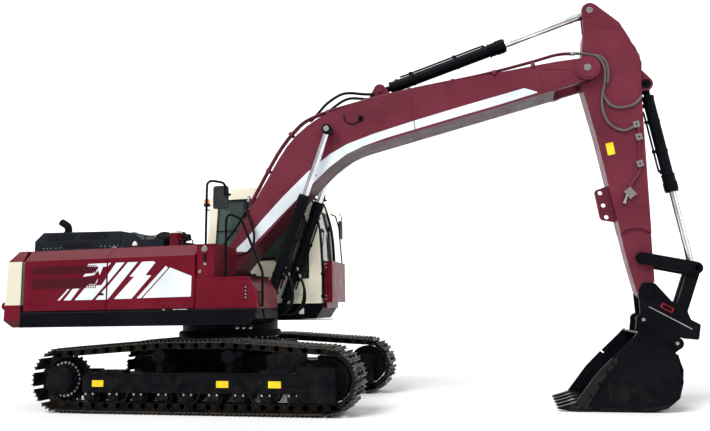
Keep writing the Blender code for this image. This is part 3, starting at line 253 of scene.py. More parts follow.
def soften(piece, chamfer, segments=2, limit=33):
    """Rounded edges that catch the light, on a smoothly shaded piece."""
    for face in piece.data.polygons:
        face.use_smooth = True
    if chamfer > 0:
        edge = piece.modifiers.new("rounded edges", "BEVEL")
        edge.width = chamfer
        edge.segments = segments
        edge.limit_method = "ANGLE"
        edge.angle_limit = math.radians(limit)
        edge.harden_normals = True
        edge.use_clamp_overlap = True


def capsule(first, second, radius, sides=10):
    """An outline (x, z) round two centres."""
    a, b = Vector(first), Vector(second)
    heading = math.atan2(b.y - a.y, b.x - a.x)
    points = []
    for centre, start in ((b, heading - math.pi / 2), (a, heading + math.pi / 2)):
        for i in range(sides + 1):
            angle = start + math.pi * i / sides
            points.append((centre.x + radius * math.cos(angle), centre.y + radius * math.sin(angle)))
    return points


def rounded_box(low, high, radius, sides=4):
    """A rectangle outline with rounded corners."""
    points = []
    for cx, cy, start in ((high[0], high[1], 0), (low[0], high[1], 90), (low[0], low[1], 180),
                          (high[0], low[1], 270)):
        x = cx - radius if start in (0, 270) else cx + radius
        y = cy - radius if start in (0, 90) else cy + radius
        for i in range(sides + 1):
            angle = math.radians(start + 90 * i / sides)
            points.append((x + radius * math.cos(angle), y + radius * math.sin(angle)))
    return points


# ---------------------------------------------------------------- finishes
def shader(name, colour, rough, metal=0.0, coat=0.0, gloss=0.10):
    """A new material and its shader, with the even values set on the shader itself."""
    material = bpy.data.materials.new(name)
    material.use_nodes = True
    surface = material.node_tree.nodes["Principled BSDF"]
    surface.inputs["Base Color"].default_value = (*colour, 1)
    surface.inputs["Roughness"].default_value = rough
    surface.inputs["Metallic"].default_value = metal
    surface.inputs["Specular IOR Level"].default_value = gloss
    surface.inputs["Coat Weight"].default_value = coat
    surface.inputs["Coat Roughness"].default_value = 0.08
    material.diffuse_color = (*colour, 1)
    return material, surface


def node(material, kind, inputs=None, **settings):
    """A node with some inputs set."""
    made = material.node_tree.nodes.new(kind)
    for key, value in settings.items():
        setattr(made, key, value)
    for key, value in (inputs or {}).items():
        made.inputs[key].default_value = value
    return made


def join(material, start, end):
    """Link one socket to another."""
    material.node_tree.links.new(start, end)


def place(material):
    """The place on the piece, in metres."""
    return node(material, "ShaderNodeTexCoord").outputs["Object"]


def cloud(material, scale, detail=3.0, stretch=None):
    """Noise over the piece at a number of waves a metre."""
    noise = node(material, "ShaderNodeTexNoise", {"Scale": scale, "Detail": detail})
    start = place(material)
    if stretch:
        squeeze = node(material, "ShaderNodeMapping")
        squeeze.inputs["Scale"].default_value = stretch
        join(material, start, squeeze.inputs["Vector"])
        start = squeeze.outputs["Vector"]
    join(material, start, noise.inputs["Vector"])
    return noise.outputs["Fac"]


def ranged(material, value, low, high, out_low, out_high):
    """A value mapped from one range to another."""
    step = node(material, "ShaderNodeMapRange", {"From Min": low, "From Max": high,
                                                 "To Min": out_low, "To Max": out_high})
    join(material, value, step.inputs["Value"])
    return step.outputs["Result"]


def times(material, first, second):
    """Two values multiplied."""
    product = node(material, "ShaderNodeMath", operation="MULTIPLY")
    join(material, first, product.inputs[0])
    join(material, second, product.inputs[1])
    return product.outputs[0]


def blended(material, amount, first, second):
    """One colour over another; each is a colour or a socket."""
    mix = node(material, "ShaderNodeMix", data_type="RGBA")
    join(material, amount, mix.inputs["Factor"])
    for value, socket in ((first, mix.inputs[6]), (second, mix.inputs[7])):
        if isinstance(value, bpy.types.NodeSocket):
            join(material, value, socket)
        else:
            socket.default_value = (*value, 1)
    return mix.outputs[2]


def edge_mask(material, radius):
    """White along edges, from the surface's turn within a radius."""
    worn = node(material, "ShaderNodeBevel", {"Radius": radius}, samples=4)
    flat = node(material, "ShaderNodeNewGeometry")
    dot = node(material, "ShaderNodeVectorMath", operation="DOT_PRODUCT")
    join(material, worn.outputs["Normal"], dot.inputs[0])
    join(material, flat.outputs["Normal"], dot.inputs[1])
    return ranged(material, dot.outputs["Value"], 0.995, 0.90, 0.0, 1.0)


def bumped(material, surface, height, strength, distance=0.002):
    """A height joined to a surface as a bump."""
    bump = node(material, "ShaderNodeBump", {"Strength": strength, "Distance": distance})
    join(material, height, bump.inputs["Height"])
    join(material, bump.outputs["Normal"], surface.inputs["Normal"])


def paint(name, colour, rough, coat, dust=0.10, dust_top=0.9, orange=0.05, top_highlight=0.055, gloss=0.10):
    """Sprayed paint: a soft mottling, a painted highlight on upward-facing tops, painted shade on undersides
    and a little dust low down.
    """
    material, surface = shader(name, colour, rough, coat=coat, gloss=gloss)
    shade = ranged(material, cloud(material, 1.6, 4), 0.3, 0.7, 0.0, 1.0)
    deep = tuple(c * 0.82 for c in colour)
    bright = tuple(min(c * 1.12 + 0.002, 1) for c in colour)
    base = blended(material, shade, deep, bright)
    height = node(material, "ShaderNodeSeparateXYZ")
    join(material, place(material), height.inputs[0])
    low = ranged(material, height.outputs["Z"], dust_top, 0.0, 0.0, dust)
    speck = ranged(material, cloud(material, 9, 8), 0.40, 0.70, 0.0, 1.0)
    grime = times(material, low, speck)
    base = blended(material, grime, base, (0.20, 0.155, 0.105))
    # Painted highlight: faces turned up are blended towards a paler colour, as if lit by the sky.
    facing = node(material, "ShaderNodeSeparateXYZ")
    join(material, node(material, "ShaderNodeTexCoord").outputs["Normal"], facing.inputs[0])
    highlit_top = tuple(c + (1 - c) * top_highlight for c in colour)
    base = blended(material, ranged(material, facing.outputs["Z"], 0.15, 0.70, 0.0, 0.65), base, highlit_top)
    # Painted shade: faces turned down are darkened towards a fifth of the colour.
    shaded_under = tuple(c * 0.18 for c in colour)
    base = blended(material, ranged(material, facing.outputs["Z"], -0.25, -0.85, 0.0, 0.85), base, shaded_under)
    join(material, base, surface.inputs["Base Color"])
    join(material, ranged(material, cloud(material, 5, 6), 0.3, 0.75, rough * 0.85, min(rough * 1.35, 1)),
         surface.inputs["Roughness"])
    bumped(material, surface, cloud(material, 260, 2), orange, 0.001)
    return material


def worn_steel(name, colour, bright, rough, grime, metal=0.75):
    """Bare steel that rubs bright on its edges and holds dry soil in between."""
    material, surface = shader(name, colour, rough, metal)
    patch = ranged(material, cloud(material, 7, 8), 0.38, 0.66, 0.0, 1.0)
    base = blended(material, patch, colour, grime)
    edge = times(material, edge_mask(material, 0.008),
                 ranged(material, cloud(material, 30, 5), 0.35, 0.6, 0.2, 1))
    base = blended(material, edge, base, bright)
    join(material, base, surface.inputs["Base Color"])
    join(material, ranged(material, patch, 0.0, 1.0, rough * 0.8, min(rough * 1.4, 1)),
         surface.inputs["Roughness"])
    bumped(material, surface, cloud(material, 70, 6), 0.35, 0.003)
    return material


def casting(name, colour, rough=0.55):
    """Painted castings and plates, with a sandy skin."""
    material, surface = shader(name, colour, rough, gloss=0.03)
    shade = ranged(material, cloud(material, 3, 5), 0.3, 0.7, 0.0, 1.0)
    base = blended(material, shade, tuple(c * 0.7 for c in colour), tuple(c * 1.25 for c in colour))
    height = node(material, "ShaderNodeSeparateXYZ")
    join(material, place(material), height.inputs[0])
    low = ranged(material, height.outputs["Z"], 1.0, 0.0, 0.0, 0.20)
    grime = times(material, low, ranged(material, cloud(material, 6, 8), 0.42, 0.72, 0.0, 1.0))
    base = blended(material, grime, base, (0.060, 0.050, 0.040))
    join(material, base, surface.inputs["Base Color"])
    join(material, ranged(material, cloud(material, 4, 5), 0.3, 0.7, rough * 0.8, rough * 1.3),
         surface.inputs["Roughness"])
    bumped(material, surface, cloud(material, 150, 4), 0.16, 0.002)
    return material


def chrome(name):
    """Hard chrome with fine rings from grinding and a film of oil."""
    material, surface = shader(name, (0.80, 0.81, 0.83), 0.12, 1.0)
    film = ranged(material, cloud(material, 6, 4), 0.35, 0.7, 0.0, 1.0)
    join(material, blended(material, film, (0.86, 0.87, 0.89), (0.62, 0.63, 0.64)),
         surface.inputs["Base Color"])
    join(material, ranged(material, cloud(material, 40, 4), 0.3, 0.7, 0.07, 0.24),
         surface.inputs["Roughness"])
    bumped(material, surface, cloud(material, 300, 2), 0.03, 0.0005)
    return material


def glazing(name):
    """Green-tinted safety glass, dark from outside, with a little dust."""
    material, surface = shader(name, (0.035, 0.060, 0.052), 0.04, coat=0.6)
    surface.inputs["Transmission Weight"].default_value = 0.55
    surface.inputs["IOR"].default_value = 1.45
    film = ranged(material, cloud(material, 2.2, 5), 0.35, 0.75, 0.0, 1.0)
    join(material, blended(material, film, (0.055, 0.095, 0.080), (0.085, 0.115, 0.100)),
         surface.inputs["Base Color"])
    join(material, ranged(material, cloud(material, 11, 5), 0.4, 0.8, 0.02, 0.12),
         surface.inputs["Roughness"])
    return material


def cloth(name):
    """Woven seat cloth."""
    material, surface = shader(name, (0.030, 0.031, 0.035), 0.95)
    surface.inputs["Sheen Weight"].default_value = 0.4
    warp = node(material, "ShaderNodeTexWave", {"Scale": 90, "Distortion": 0.6}, bands_direction="X")
    weft = node(material, "ShaderNodeTexWave", {"Scale": 90, "Distortion": 0.6}, bands_direction="Z")
    for wave in (warp, weft):
        join(material, place(material), wave.inputs["Vector"])
    weave = times(material, warp.outputs["Fac"], weft.outputs["Fac"])
    join(material, blended(material, weave, (0.020, 0.021, 0.024), (0.060, 0.062, 0.070)),
         surface.inputs["Base Color"])
    bumped(material, surface, weave, 0.5, 0.002)
    return material


def moulded(name, colour, rough=0.55, grain=220, strength=0.2):
    """Moulded plastic or rubber with a fine grain."""
    material, surface = shader(name, colour, rough)
    shade = ranged(material, cloud(material, 6, 4), 0.3, 0.7, 0.0, 1.0)
    dark, pale = tuple(c * 0.75 for c in colour), tuple(min(c * 1.2, 1) for c in colour)
    join(material, blended(material, shade, dark, pale), surface.inputs["Base Color"])
    join(material, ranged(material, cloud(material, 14, 4), 0.3, 0.7, rough * 0.85, min(rough * 1.25, 1)),
         surface.inputs["Roughness"])
    bumped(material, surface, cloud(material, grain, 3), strength, 0.001)
    return material


def wire_mesh(name):
    """A dark woven screen behind a louvre."""
    material, surface = shader(name, (0.012, 0.010, 0.011), 0.5, 0.3)
    rows = node(material, "ShaderNodeTexWave", {"Scale": 34}, bands_direction="X")
    lines = node(material, "ShaderNodeTexWave", {"Scale": 34}, bands_direction="Z")
    for wave in (rows, lines):
        join(material, place(material), wave.inputs["Vector"])
    net = times(material, rows.outputs["Fac"], lines.outputs["Fac"])
    join(material, blended(material, net, (0.050, 0.012, 0.018), (0.004, 0.004, 0.005)),
         surface.inputs["Base Color"])
    bumped(material, surface, net, 0.7, 0.004)
    return material


def glowing(name, colour, glow):
    """A lamp's coloured or clear lens, ribbed inside."""
    material, surface = shader(name, colour, 0.12, coat=0.8)
    ribs = node(material, "ShaderNodeTexWave", {"Scale": 26}, bands_direction="Z")
    join(material, place(material), ribs.inputs["Vector"])
    join(material, blended(material, ribs.outputs["Fac"], tuple(c * 0.55 for c in colour), colour),
         surface.inputs["Base Color"])
    surface.inputs["Emission Color"].default_value = (*colour, 1)
    surface.inputs["Emission Strength"].default_value = glow
    bumped(material, surface, ribs.outputs["Fac"], 0.4, 0.002)
    return material


def finish_material(finish):
    """The material of a finish by its name, made when it is first asked for."""
    known = bpy.data.materials.get(finish)
    if known:
        return known
    colours = bpy.context.scene.excavator_paint
    makers = {
        "burgundy paint": lambda n: paint(n, tuple(colours.body), 0.30, 0.03),
        "burgundy side panels": lambda n: paint(n, tuple(colours.body), 0.30, 0.03),
        # Painted light: the cream is made 14 per cent brighter than the set colour to lift the cab side that
        # lies in shade, with a strong painted highlight on its tops.
        "cream paint brightened as painted light": lambda n: paint(n, tuple(min(c * 1.14, 1) for c in colours.cab), 0.34, 0.05, top_highlight=0.3),
        # Painted reflection: the boom and arm take a greyer, bluer copy of the body burgundy, standing in for
        # the sky reflected on their sides.
        "boom and arm burgundy with painted sky reflection": lambda n: paint(n, (0.128, 0.019, 0.034), 0.34, 0.03),
        "black paint": lambda n: paint(n, tuple(colours.chassis), 0.36, 0.01, 0.015, top_highlight=0.012, gloss=0.03),
        "hood paint": lambda n: paint(n, (0.0150, 0.0180, 0.0240), 0.40, 0.01, top_highlight=0.010, gloss=0.03),
        "white graphic": lambda n: paint(n, (0.68, 0.73, 0.77), 0.35, 0.05, top_highlight=0.2),
        "track shoes": lambda n: worn_steel(n, tuple(colours.shoes), (0.22, 0.20, 0.18), 0.50,
                                            (0.034, 0.026, 0.020)),
        "chain links": lambda n: worn_steel(n, (0.016, 0.014, 0.013), (0.14, 0.13, 0.12), 0.55,
                                            (0.022, 0.018, 0.014)),
        "worn teeth": lambda n: worn_steel(n, (0.014, 0.0145, 0.016), (0.10, 0.10, 0.10), 0.42,
                                           (0.020, 0.019, 0.018)),
        "black casting": lambda n: casting(n, (0.0038, 0.0044, 0.0058)),
        "black pipe": lambda n: casting(n, (0.006, 0.006, 0.007), 0.45),
        "bright steel": lambda n: worn_steel(n, (0.42, 0.42, 0.41), (0.70, 0.70, 0.69), 0.30,
                                             (0.26, 0.25, 0.235), 1.0),
        "hard chrome": chrome,
        "tinted glass": glazing,
        "seat cloth": cloth,
        "grey plastic": lambda n: moulded(n, (0.030, 0.031, 0.033), 0.5),
        "black rubber": lambda n: moulded(n, (0.006, 0.006, 0.007), 0.6, 320, 0.3),
        "sheathed hose": lambda n: moulded(n, (0.11, 0.11, 0.11), 0.7, 500, 0.6),
        "louvre screen": wire_mesh,
        "yellow plate": lambda n: moulded(n, (0.80, 0.56, 0.02), 0.4, 60, 0.05),
        "red housing": lambda n: moulded(n, (0.30, 0.012, 0.018), 0.35, 90, 0.08),
        "white cap": lambda n: moulded(n, (0.72, 0.72, 0.71), 0.35, 90, 0.08),
        "amber lens": lambda n: glowing(n, (0.90, 0.22, 0.01), 0.25),
        "clear lens": lambda n: glowing(n, (0.75, 0.76, 0.78), 0.15),
    }
    return makers[finish](finish)


# ---------------------------------------------------------------- settings a user would change
class ExcavatorPaint(bpy.types.PropertyGroup):
    """Colours of the machine."""

    body: bpy.props.FloatVectorProperty(
        name="Body", description="House, boom and arm", subtype="COLOR", size=3,
        min=0, max=1, default=(0.118, 0.0022, 0.0110))
    cab: bpy.props.FloatVectorProperty(
        name="Cab", description="Cab and counterweight band", subtype="COLOR", size=3,
        min=0, max=1, default=(0.80, 0.76, 0.60))
    chassis: bpy.props.FloatVectorProperty(
        name="Chassis", description="Deck, hood, cylinders and bucket", subtype="COLOR", size=3,
        min=0, max=1, default=(0.0026, 0.0032, 0.0050))
    shoes: bpy.props.FloatVectorProperty(
        name="Track shoes", description="Worn steel of the tracks", subtype="COLOR", size=3,
        min=0, max=1, default=(0.016, 0.014, 0.013))


class ExcavatorTracks(bpy.types.PropertyGroup):
    """Sizes of the track chain and its shoes."""

    pitch: bpy.props.FloatProperty(
        name="Shoe pitch", description="Distance from one shoe to the next", unit="LENGTH",
        default=0.203, min=0.15, max=0.30)
    width: bpy.props.FloatProperty(
        name="Shoe width", description="Across the track", unit="LENGTH",
        default=0.60, min=0.4, max=0.6)
    grouser: bpy.props.FloatProperty(
        name="Grouser height", description="Of the ribs on each shoe", unit="LENGTH",
        default=0.031, min=0.01, max=0.032)


class ExcavatorFittings(bpy.types.PropertyGroup):
    """Sizes of hoses, pipes and bolts."""

    hose: bpy.props.FloatProperty(
        name="Hose", description="Outside diameter of the main hoses", unit="LENGTH",
        default=0.040, min=0.02, max=0.06)
    pipe: bpy.props.FloatProperty(
        name="Pipe", description="Outside diameter of the steel pipes on the boom", unit="LENGTH",
        default=0.036, min=0.02, max=0.05)
    bolt: bpy.props.FloatProperty(
        name="Bolt", description="Size of the common bolts, across their flats", unit="LENGTH",
        default=0.024, min=0.01, max=0.04)


class ExcavatorStudio(bpy.types.PropertyGroup):
    """The studio."""

    lens: bpy.props.FloatProperty(
        name="Lens", description="Focal length on a 36 mm wide sensor, in millimetres",
        default=33.78, min=20, max=120)
    key: bpy.props.FloatProperty(
        name="Key light", description="Strength of the broad high light", default=2.7, min=0, max=20)
    sky: bpy.props.FloatProperty(
        name="Sky", description="Strength of the even light all round", default=0.50, min=0, max=5)


CAD_FINISH = {
    "burgundy paint": ("house_shell", "fuel_tank", "hydraulic_tank", "front_locker"),
    "boom and arm burgundy with painted sky reflection": ("boom", "arm"),
    "hood paint": ("engine_hood", "top_cover"),
    "burgundy side panels": ("right_rear_door", "right_front_door", "left_rear_door", "left_front_door"),
    "banded counterweight": ("counterweight",),
    "cream paint brightened as painted light": ("cab_shell", "cab_door"),
    "black paint": (
        "revolving_frame", "boom_cylinder_left", "boom_cylinder_right",
        "arm_cylinder", "bucket_cylinder", "quick_coupler", "bucket", "left_handrail",
        "right_handrail", "front_handrail"),
    "black pipe": ("exhaust_pipe",),
    "black casting": (
        "carbody", "track_frame_left", "track_frame_right", "swing_bearing", "engine_block",
        "swing_drive", "guide_link_left", "guide_link_right", "bucket_link"),
    "hard chrome": ("boom_rod_left", "boom_rod_right", "arm_rod", "bucket_rod"),
    "tinted glass": ("right_window", "left_window", "door_window", "windshield", "rear_window"),
    "grey plastic": ("seat_base", "right_mirror", "left_mirror"),
}
SHARP = ("right_window", "left_window", "door_window", "windshield", "rear_window", "engine_block")
FINE = ("left_handrail", "right_handrail", "front_handrail", "exhaust_pipe", "cab_door")


def banded_counterweight(name):
    """The casting of the tail: burgundy with a cream band round its middle, the band painted darker than the
    cab's cream as painted shade.
    """
    colours = bpy.context.scene.excavator_paint
    material = paint(name, tuple(colours.body), 0.34, 0.05)
    surface = material.node_tree.nodes["Principled BSDF"]
    base = surface.inputs["Base Color"].links[0].from_socket
    height = node(material, "ShaderNodeSeparateXYZ")
    join(material, place(material), height.inputs[0])
    above = ranged(material, height.outputs["Z"], 1.581, 1.585, 0.0, 1.0)
    below = ranged(material, height.outputs["Z"], 2.252, 2.248, 0.0, 1.0)
    # Painted shade: the band's cream is held at 70 to 78 per cent of the set colour, darker than the cab, to
    # tone down the tail where the key light strikes it; the cloud only varies it at random.
    shaded_band = blended(material, cloud(material, 2.0, 4), tuple(c * 0.70 for c in colours.cab),
                     tuple(c * 0.78 for c in colours.cab))
    join(material, blended(material, times(material, above, below), base, shaded_band),
         surface.inputs["Base Color"])
    return material


class EXCAVATOR_OT_finish_frame(bpy.types.Operator):
    """Paint the solid frame and round its edges"""

    bl_idname = "excavator.finish_frame"
    bl_label = "Finish the frame"

    def execute(self, context):
        banded_counterweight("banded counterweight")
        for finish, names in CAD_FINISH.items():
            for name in names:
                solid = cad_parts[name]
                solid.data.materials.clear()
                solid.data.materials.append(finish_material(finish))
                custom = solid.data.attributes.get("custom_normal")
                if custom:
                    solid.data.attributes.remove(custom)
                weld = solid.modifiers.new("welded seams", "WELD")
                weld.merge_threshold = 0.00005
                if name in SHARP:
                    for face in solid.data.polygons:
                        face.use_smooth = False
                else:
                    soften(solid, 0.002 if name in FINE else 0.006, 3)
        return {"FINISHED"}


# ---------------------------------------------------------------- undercarriage
def belt_line(grow, count):
    """Even points, with the way along, round the track at a distance out from the chain's inner face."""
    rounds = [(-2.03, 0.475, 0.320), (2.02, 0.475, 0.325), (-0.48, 0.800, 0.101), (0.59, 0.800, 0.101),
              (-1.56, 0.230, 0.085), (1.56, 0.230, 0.085)]
    cloud_points = []
    for x, z, radius in rounds:
        for i in range(180):
            angle = math.radians(i * 2)
            cloud_points.append((round(x + (radius + grow) * math.cos(angle), 6),
                                 round(z + (radius + grow) * math.sin(angle), 6)))
    cloud_points = sorted(set(cloud_points))
    outline = []
    for way in (cloud_points, list(reversed(cloud_points))):
        part = []
        for p in way:
            while len(part) > 1 and ((part[-1][0] - part[-2][0]) * (p[1] - part[-2][1])
                                     - (part[-1][1] - part[-2][1]) * (p[0] - part[-2][0])) <= 0:
                part.pop()
            part.append(p)
        outline += part[:-1]
    loop = [Vector(p) for p in outline]
    lengths = [(loop[(i + 1) % len(loop)] - loop[i]).length for i in range(len(loop))]
    total = sum(lengths)
    placed = []
    i, start = 0, 0.0
    for k in range(count):
        want = total * k / count
        while start + lengths[i] < want:
            start += lengths[i]
            i += 1
        first, second = loop[i], loop[(i + 1) % len(loop)]
        along = (second - first).normalized()
        placed.append((first + along * (want - start), along))
    return placed, total


def track_chain(side, name, tracks):
    """The shoes and the link chain of one track, in place of its plain loop."""
    y = side * TRACK_Y
    total = belt_line(0.05, 8)[1]
    count = round(total / tracks.pitch)
    pitch = total / count
    shoes = Workpiece("track_shoes_" + name)
    plate, rib = 0.012, tracks.grouser
    half = tracks.width / 2
    crest = plate + rib
    profile = [(-pitch * 0.50, 0), (pitch * 0.46, 0), (pitch * 0.46, plate), (0.077, plate), (0.071, crest),
               (0.060, crest), (0.054, plate), (0.010, plate), (0.005, crest), (-0.006, crest),
               (-0.011, plate), (-0.056, plate), (-0.062, crest), (-0.073, crest), (-0.079, plate),
               (-pitch * 0.50, plate)]
    chain = Workpiece("track_chain_" + name)
    inner = belt_line(0.05, count)[0]
    for centre, along in inner:
        outward = Vector((along.y, -along.x))
        seat = centre + outward * 0.0505

        def spot(t, n, across):
            flat = seat + along * t + outward * n
            return Vector((flat.x, across, flat.y))
        shoes.skin([shoes.ring([spot(t, n, y - half) for t, n in profile]),
                    shoes.ring([spot(t, n, y + half) for t, n in profile])], "track shoes")
        for t in (-0.033, 0.032):
            for across in (-0.075, 0.075):
                shoes.disc(spot(t, plate, y + across), spot(t, 1, 0) - spot(t, 0, 0), 0.015, 0.011,
                           "chain links", 6)
        for across, shift in ((0.055, 0.0), (0.082, 0.5)):
            start = centre + along * pitch * (shift - 0.5)
            end = centre + along * pitch * (shift + 0.5)
            outline = capsule(start, end, 0.046, 6)
            for cheek in (-1, 1):
                low = y + cheek * across - 0.012
                chain.prism(outline, "Y", low, low + 0.024, "chain links")
        pin = centre + along * pitch * 0.5
        chain.disc((pin.x, y - 0.105, pin.y), (0, 1, 0), 0.022, 0.210, "chain links", 10, 0.004)
        chain.disc((pin.x, y - 0.045, pin.y), (0, 1, 0), 0.034, 0.090, "chain links", 10, 0.004)
    first = shoes.done("undercarriage", "track_steel", 0.0015, 1)
    second = chain.done("undercarriage", "track_steel", 0.002, 1)
    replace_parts(first, "track_" + name)
    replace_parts(second, "track_" + name)


class EXCAVATOR_OT_tracks(bpy.types.Operator):
    """Make the shoes and chains of both tracks"""

    bl_idname = "excavator.tracks"
    bl_label = "Track shoes and chains"

    def execute(self, context):
        for side, name in ((1, "left"), (-1, "right")):
            track_chain(side, name, context.scene.excavator_tracks)
        return {"FINISHED"}


def running_gear(side, name, fittings):
    """Sprocket, idler, rollers, covers and plates of one track."""
    y = side * TRACK_Y
    out = Vector((0, side, 0))
    sprocket = Workpiece("sprocket_wheel_" + name)
    axle = Vector((-2.03, y, AXLE_Z))
    sprocket.lathe(axle - out * 0.20, out, [
        (0.0, 0.05), (0.0, 0.18), (0.155, 0.18), (0.155, 0.306), (0.165, 0.314), (0.235, 0.314),
        (0.245, 0.306), (0.245, 0.262), (0.345, 0.262), (0.352, 0.255), (0.352, 0.222), (0.490, 0.213),
        (0.506, 0.200),
        (0.514, 0.175), (0.516, 0.105), (0.524, 0.098), (0.524, 0.02)], "black casting", 48)
    for i in range(23):
        angle = 2 * math.pi * i / 23
        c, s = math.cos(angle), math.sin(angle)
        tooth = [(0.300, -0.030), (0.300, 0.030), (0.338, 0.015), (0.352, 0.008), (0.352, -0.008),
                 (0.338, -0.015)]
        sprocket.prism([(axle.x + r * c - t * s, axle.z + r * s + t * c) for r, t in tooth], "Y",
                       y - 0.022, y + 0.022, "chain links")
    sprocket.bolt_ring(axle + out * 0.152, out, 0.240, 24, 0.024, "bright steel")
    sprocket.bolt_ring(axle + out * 0.314, out, 0.155, 12, 0.018, "black casting")
    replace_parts(sprocket.done("undercarriage", "cast_iron", 0.003), "sprocket_" + name)
    idler = Workpiece("idler_wheel_" + name)
    hub = Vector((2.02, y, AXLE_Z))
    idler.lathe(hub - out * 0.09, out, [
        (0.0, 0.05), (0.0, 0.105), (0.012, 0.120), (0.020, 0.225), (0.0, 0.245), (0.0, 0.296), (0.006, 0.304),
        (0.045, 0.304), (0.050, 0.319), (0.130, 0.319), (0.135, 0.304), (0.174, 0.304), (0.180, 0.296),
        (0.180, 0.245), (0.160, 0.225), (0.168, 0.120), (0.180, 0.105), (0.180, 0.05)], "black casting", 48)
    idler.lathe(hub - out * 0.144, out, [(0, 0.06), (0, 0.088), (0.288, 0.088), (0.288, 0.06)],
                "black casting", 28)
    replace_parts(idler.done("undercarriage", "cast_iron", 0.003), "idler_" + name)
    gear = Workpiece("track_frame_fittings_" + name)
    face = y + side * 0.235
    for i in range(9):
        x = (i / 8 - 0.5) * 3.12
        for cheek in (-1, 1):
            low, high = sorted((y + side * cheek * 0.150, y + side * cheek * 0.235))
            gear.block((x - 0.085, x + 0.085), (low, high), (0.196, 0.302), "black casting", 0.012)
            gear.disc((x, y + side * cheek * 0.232, 0.235), out * cheek, 0.046, 0.014, "black casting", 20)
            for step in (-0.058, 0.058):
                gear.bolt((x + step, y + side * cheek * 0.234, 0.276), out * cheek, 0.020, "bright steel")
        gear.lathe((x, y - 0.148, 0.232), (0, 1, 0), [
            (0, 0.04), (0, 0.098), (0.022, 0.104), (0.030, 0.088), (0.266, 0.088), (0.274, 0.104),
            (0.296, 0.098), (0.296, 0.04)], "chain links", 24)
    for x in (-1.10, 0.02, 1.10):
        guard = [(x - 0.19, 0.304), (x - 0.15, 0.20), (x - 0.10, 0.155), (x + 0.10, 0.155), (x + 0.15, 0.20),
                 (x + 0.19, 0.304), (x + 0.15, 0.304), (x + 0.11, 0.225), (x + 0.07, 0.185),
                 (x - 0.07, 0.185), (x - 0.11, 0.225), (x - 0.15, 0.304)]
        gear.prism(guard, "Y", *sorted((face - side * 0.012, face + side * 0.006)), "black casting")
    for x in (-0.48, 0.59):
        end = Vector((x, y + side * 0.198, 0.800))
        gear.lathe(end - out * 0.340, out, [
            (0, 0.03), (0, 0.094), (0.02, 0.100), (0.03, 0.094), (0.27, 0.094), (0.28, 0.100), (0.33, 0.100),
            (0.345, 0.090), (0.352, 0.060), (0.352, 0.02)], "black casting", 28)
        gear.bolt_ring(end + out * 0.008, out, 0.062, 6, 0.016, "black casting")
        gear.bolt(end + out * 0.010, out, 0.026, "black casting")
        gear.block((x - 0.075, x + 0.075), sorted((y - side * 0.22, y - side * 0.13)), (0.55, 0.86),
                   "black casting", 0.01)
    gear.prism([(-1.66, 0.548), (-1.60, 0.572), (1.62, 0.572), (1.66, 0.548)], "Y",
               *sorted((face - side * 0.05, face + side * 0.012)), "black casting")
    gear.prism([(-1.66, 0.318), (-1.60, 0.300), (1.62, 0.300), (1.66, 0.318), (1.66, 0.330), (-1.66, 0.330)],
               "Y", *sorted((face - side * 0.02, face + side * 0.012)), "black casting")
    for x in (-1.417, 1.09):
        gear.block((x, x + 0.41), sorted((face - side * 0.17, face + side * 0.02)), (0.566, 0.612),
                   "black casting", 0.008)
        for step in (0.04, 0.14, 0.27, 0.37):
            gear.bolt((x + step, face - side * 0.03, 0.612), (0, 0, 1), fittings.bolt, "black casting")
    gear.disc((1.09, face - side * 0.004, 0.462), out, 0.042, 0.010, "black rubber", 24)
    gear.lathe((1.09, face, 0.462), out, [(0, 0.048), (0.008, 0.048), (0.008, 0.040), (0, 0.040)],
               "black casting", 24, caps=False)
    idler_plate = [(1.62, 0.188), (2.145, 0.188), (2.145, 0.61), (2.10, 0.648), (1.62, 0.648)]
    gear.prism(idler_plate, "Y", *sorted((face - side * 0.004, face + side * 0.014)), "black casting")
    gear.prism([(1.46, 0.405), (2.125, 0.405), (2.135, 0.415), (2.125, 0.425), (1.46, 0.425)], "Y",
               *sorted((face + side * 0.012, face + side * 0.024)), "black casting")
    for x, z in ((1.66, 0.23), (1.66, 0.60), (2.10, 0.23), (2.10, 0.57), (1.88, 0.23), (1.88, 0.60)):
        gear.bolt((x, face + side * 0.013, z), out, 0.022, "black casting")
    for x in (-1.425, 0.528, 1.298):
        gear.prism(rounded_box((x - 0.092, 0.378), (x + 0.092, 0.470), 0.008), "Y",
                   *sorted((face, face + side * 0.0035)), "yellow plate")
    gear.done("undercarriage", "frame_black", 0.003, 2)


class EXCAVATOR_OT_running_gear(bpy.types.Operator):
    """Make the sprockets, idlers, rollers, guards and plates of the track frames"""

    bl_idname = "excavator.running_gear"
    bl_label = "Running gear"

    def execute(self, context):
        for side, name in ((1, "left"), (-1, "right")):
            running_gear(side, name, context.scene.excavator_fittings)
        hub = Workpiece("bearing_bolts")
        hub.bolt_ring((0, 0, 1.029), DOWN, 0.765, 40, 0.026, "bright steel")
        hub.lathe((0, 0, 1.032), (0, 0, 1), [(0, 0.79), (0, 0.815), (0.03, 0.82), (0.07, 0.82), (0.092, 0.81),
                                            (0.092, 0.79)], "black casting", 64, caps=False)
        hub.bolt_ring((0, 0, 0.95), (0, 0, 1), 0.86, 36, 0.024, "bright steel", 0.05)
        hub.lathe((0, 0, 0.925), (0, 0, 1), [(0, 0.70), (0, 0.90), (0.02, 0.90), (0.025, 0.895),
                                             (0.025, 0.70)], "black casting", 64, caps=False)
        hub.done("undercarriage", "cast_iron", 0.002)
        return {"FINISHED"}


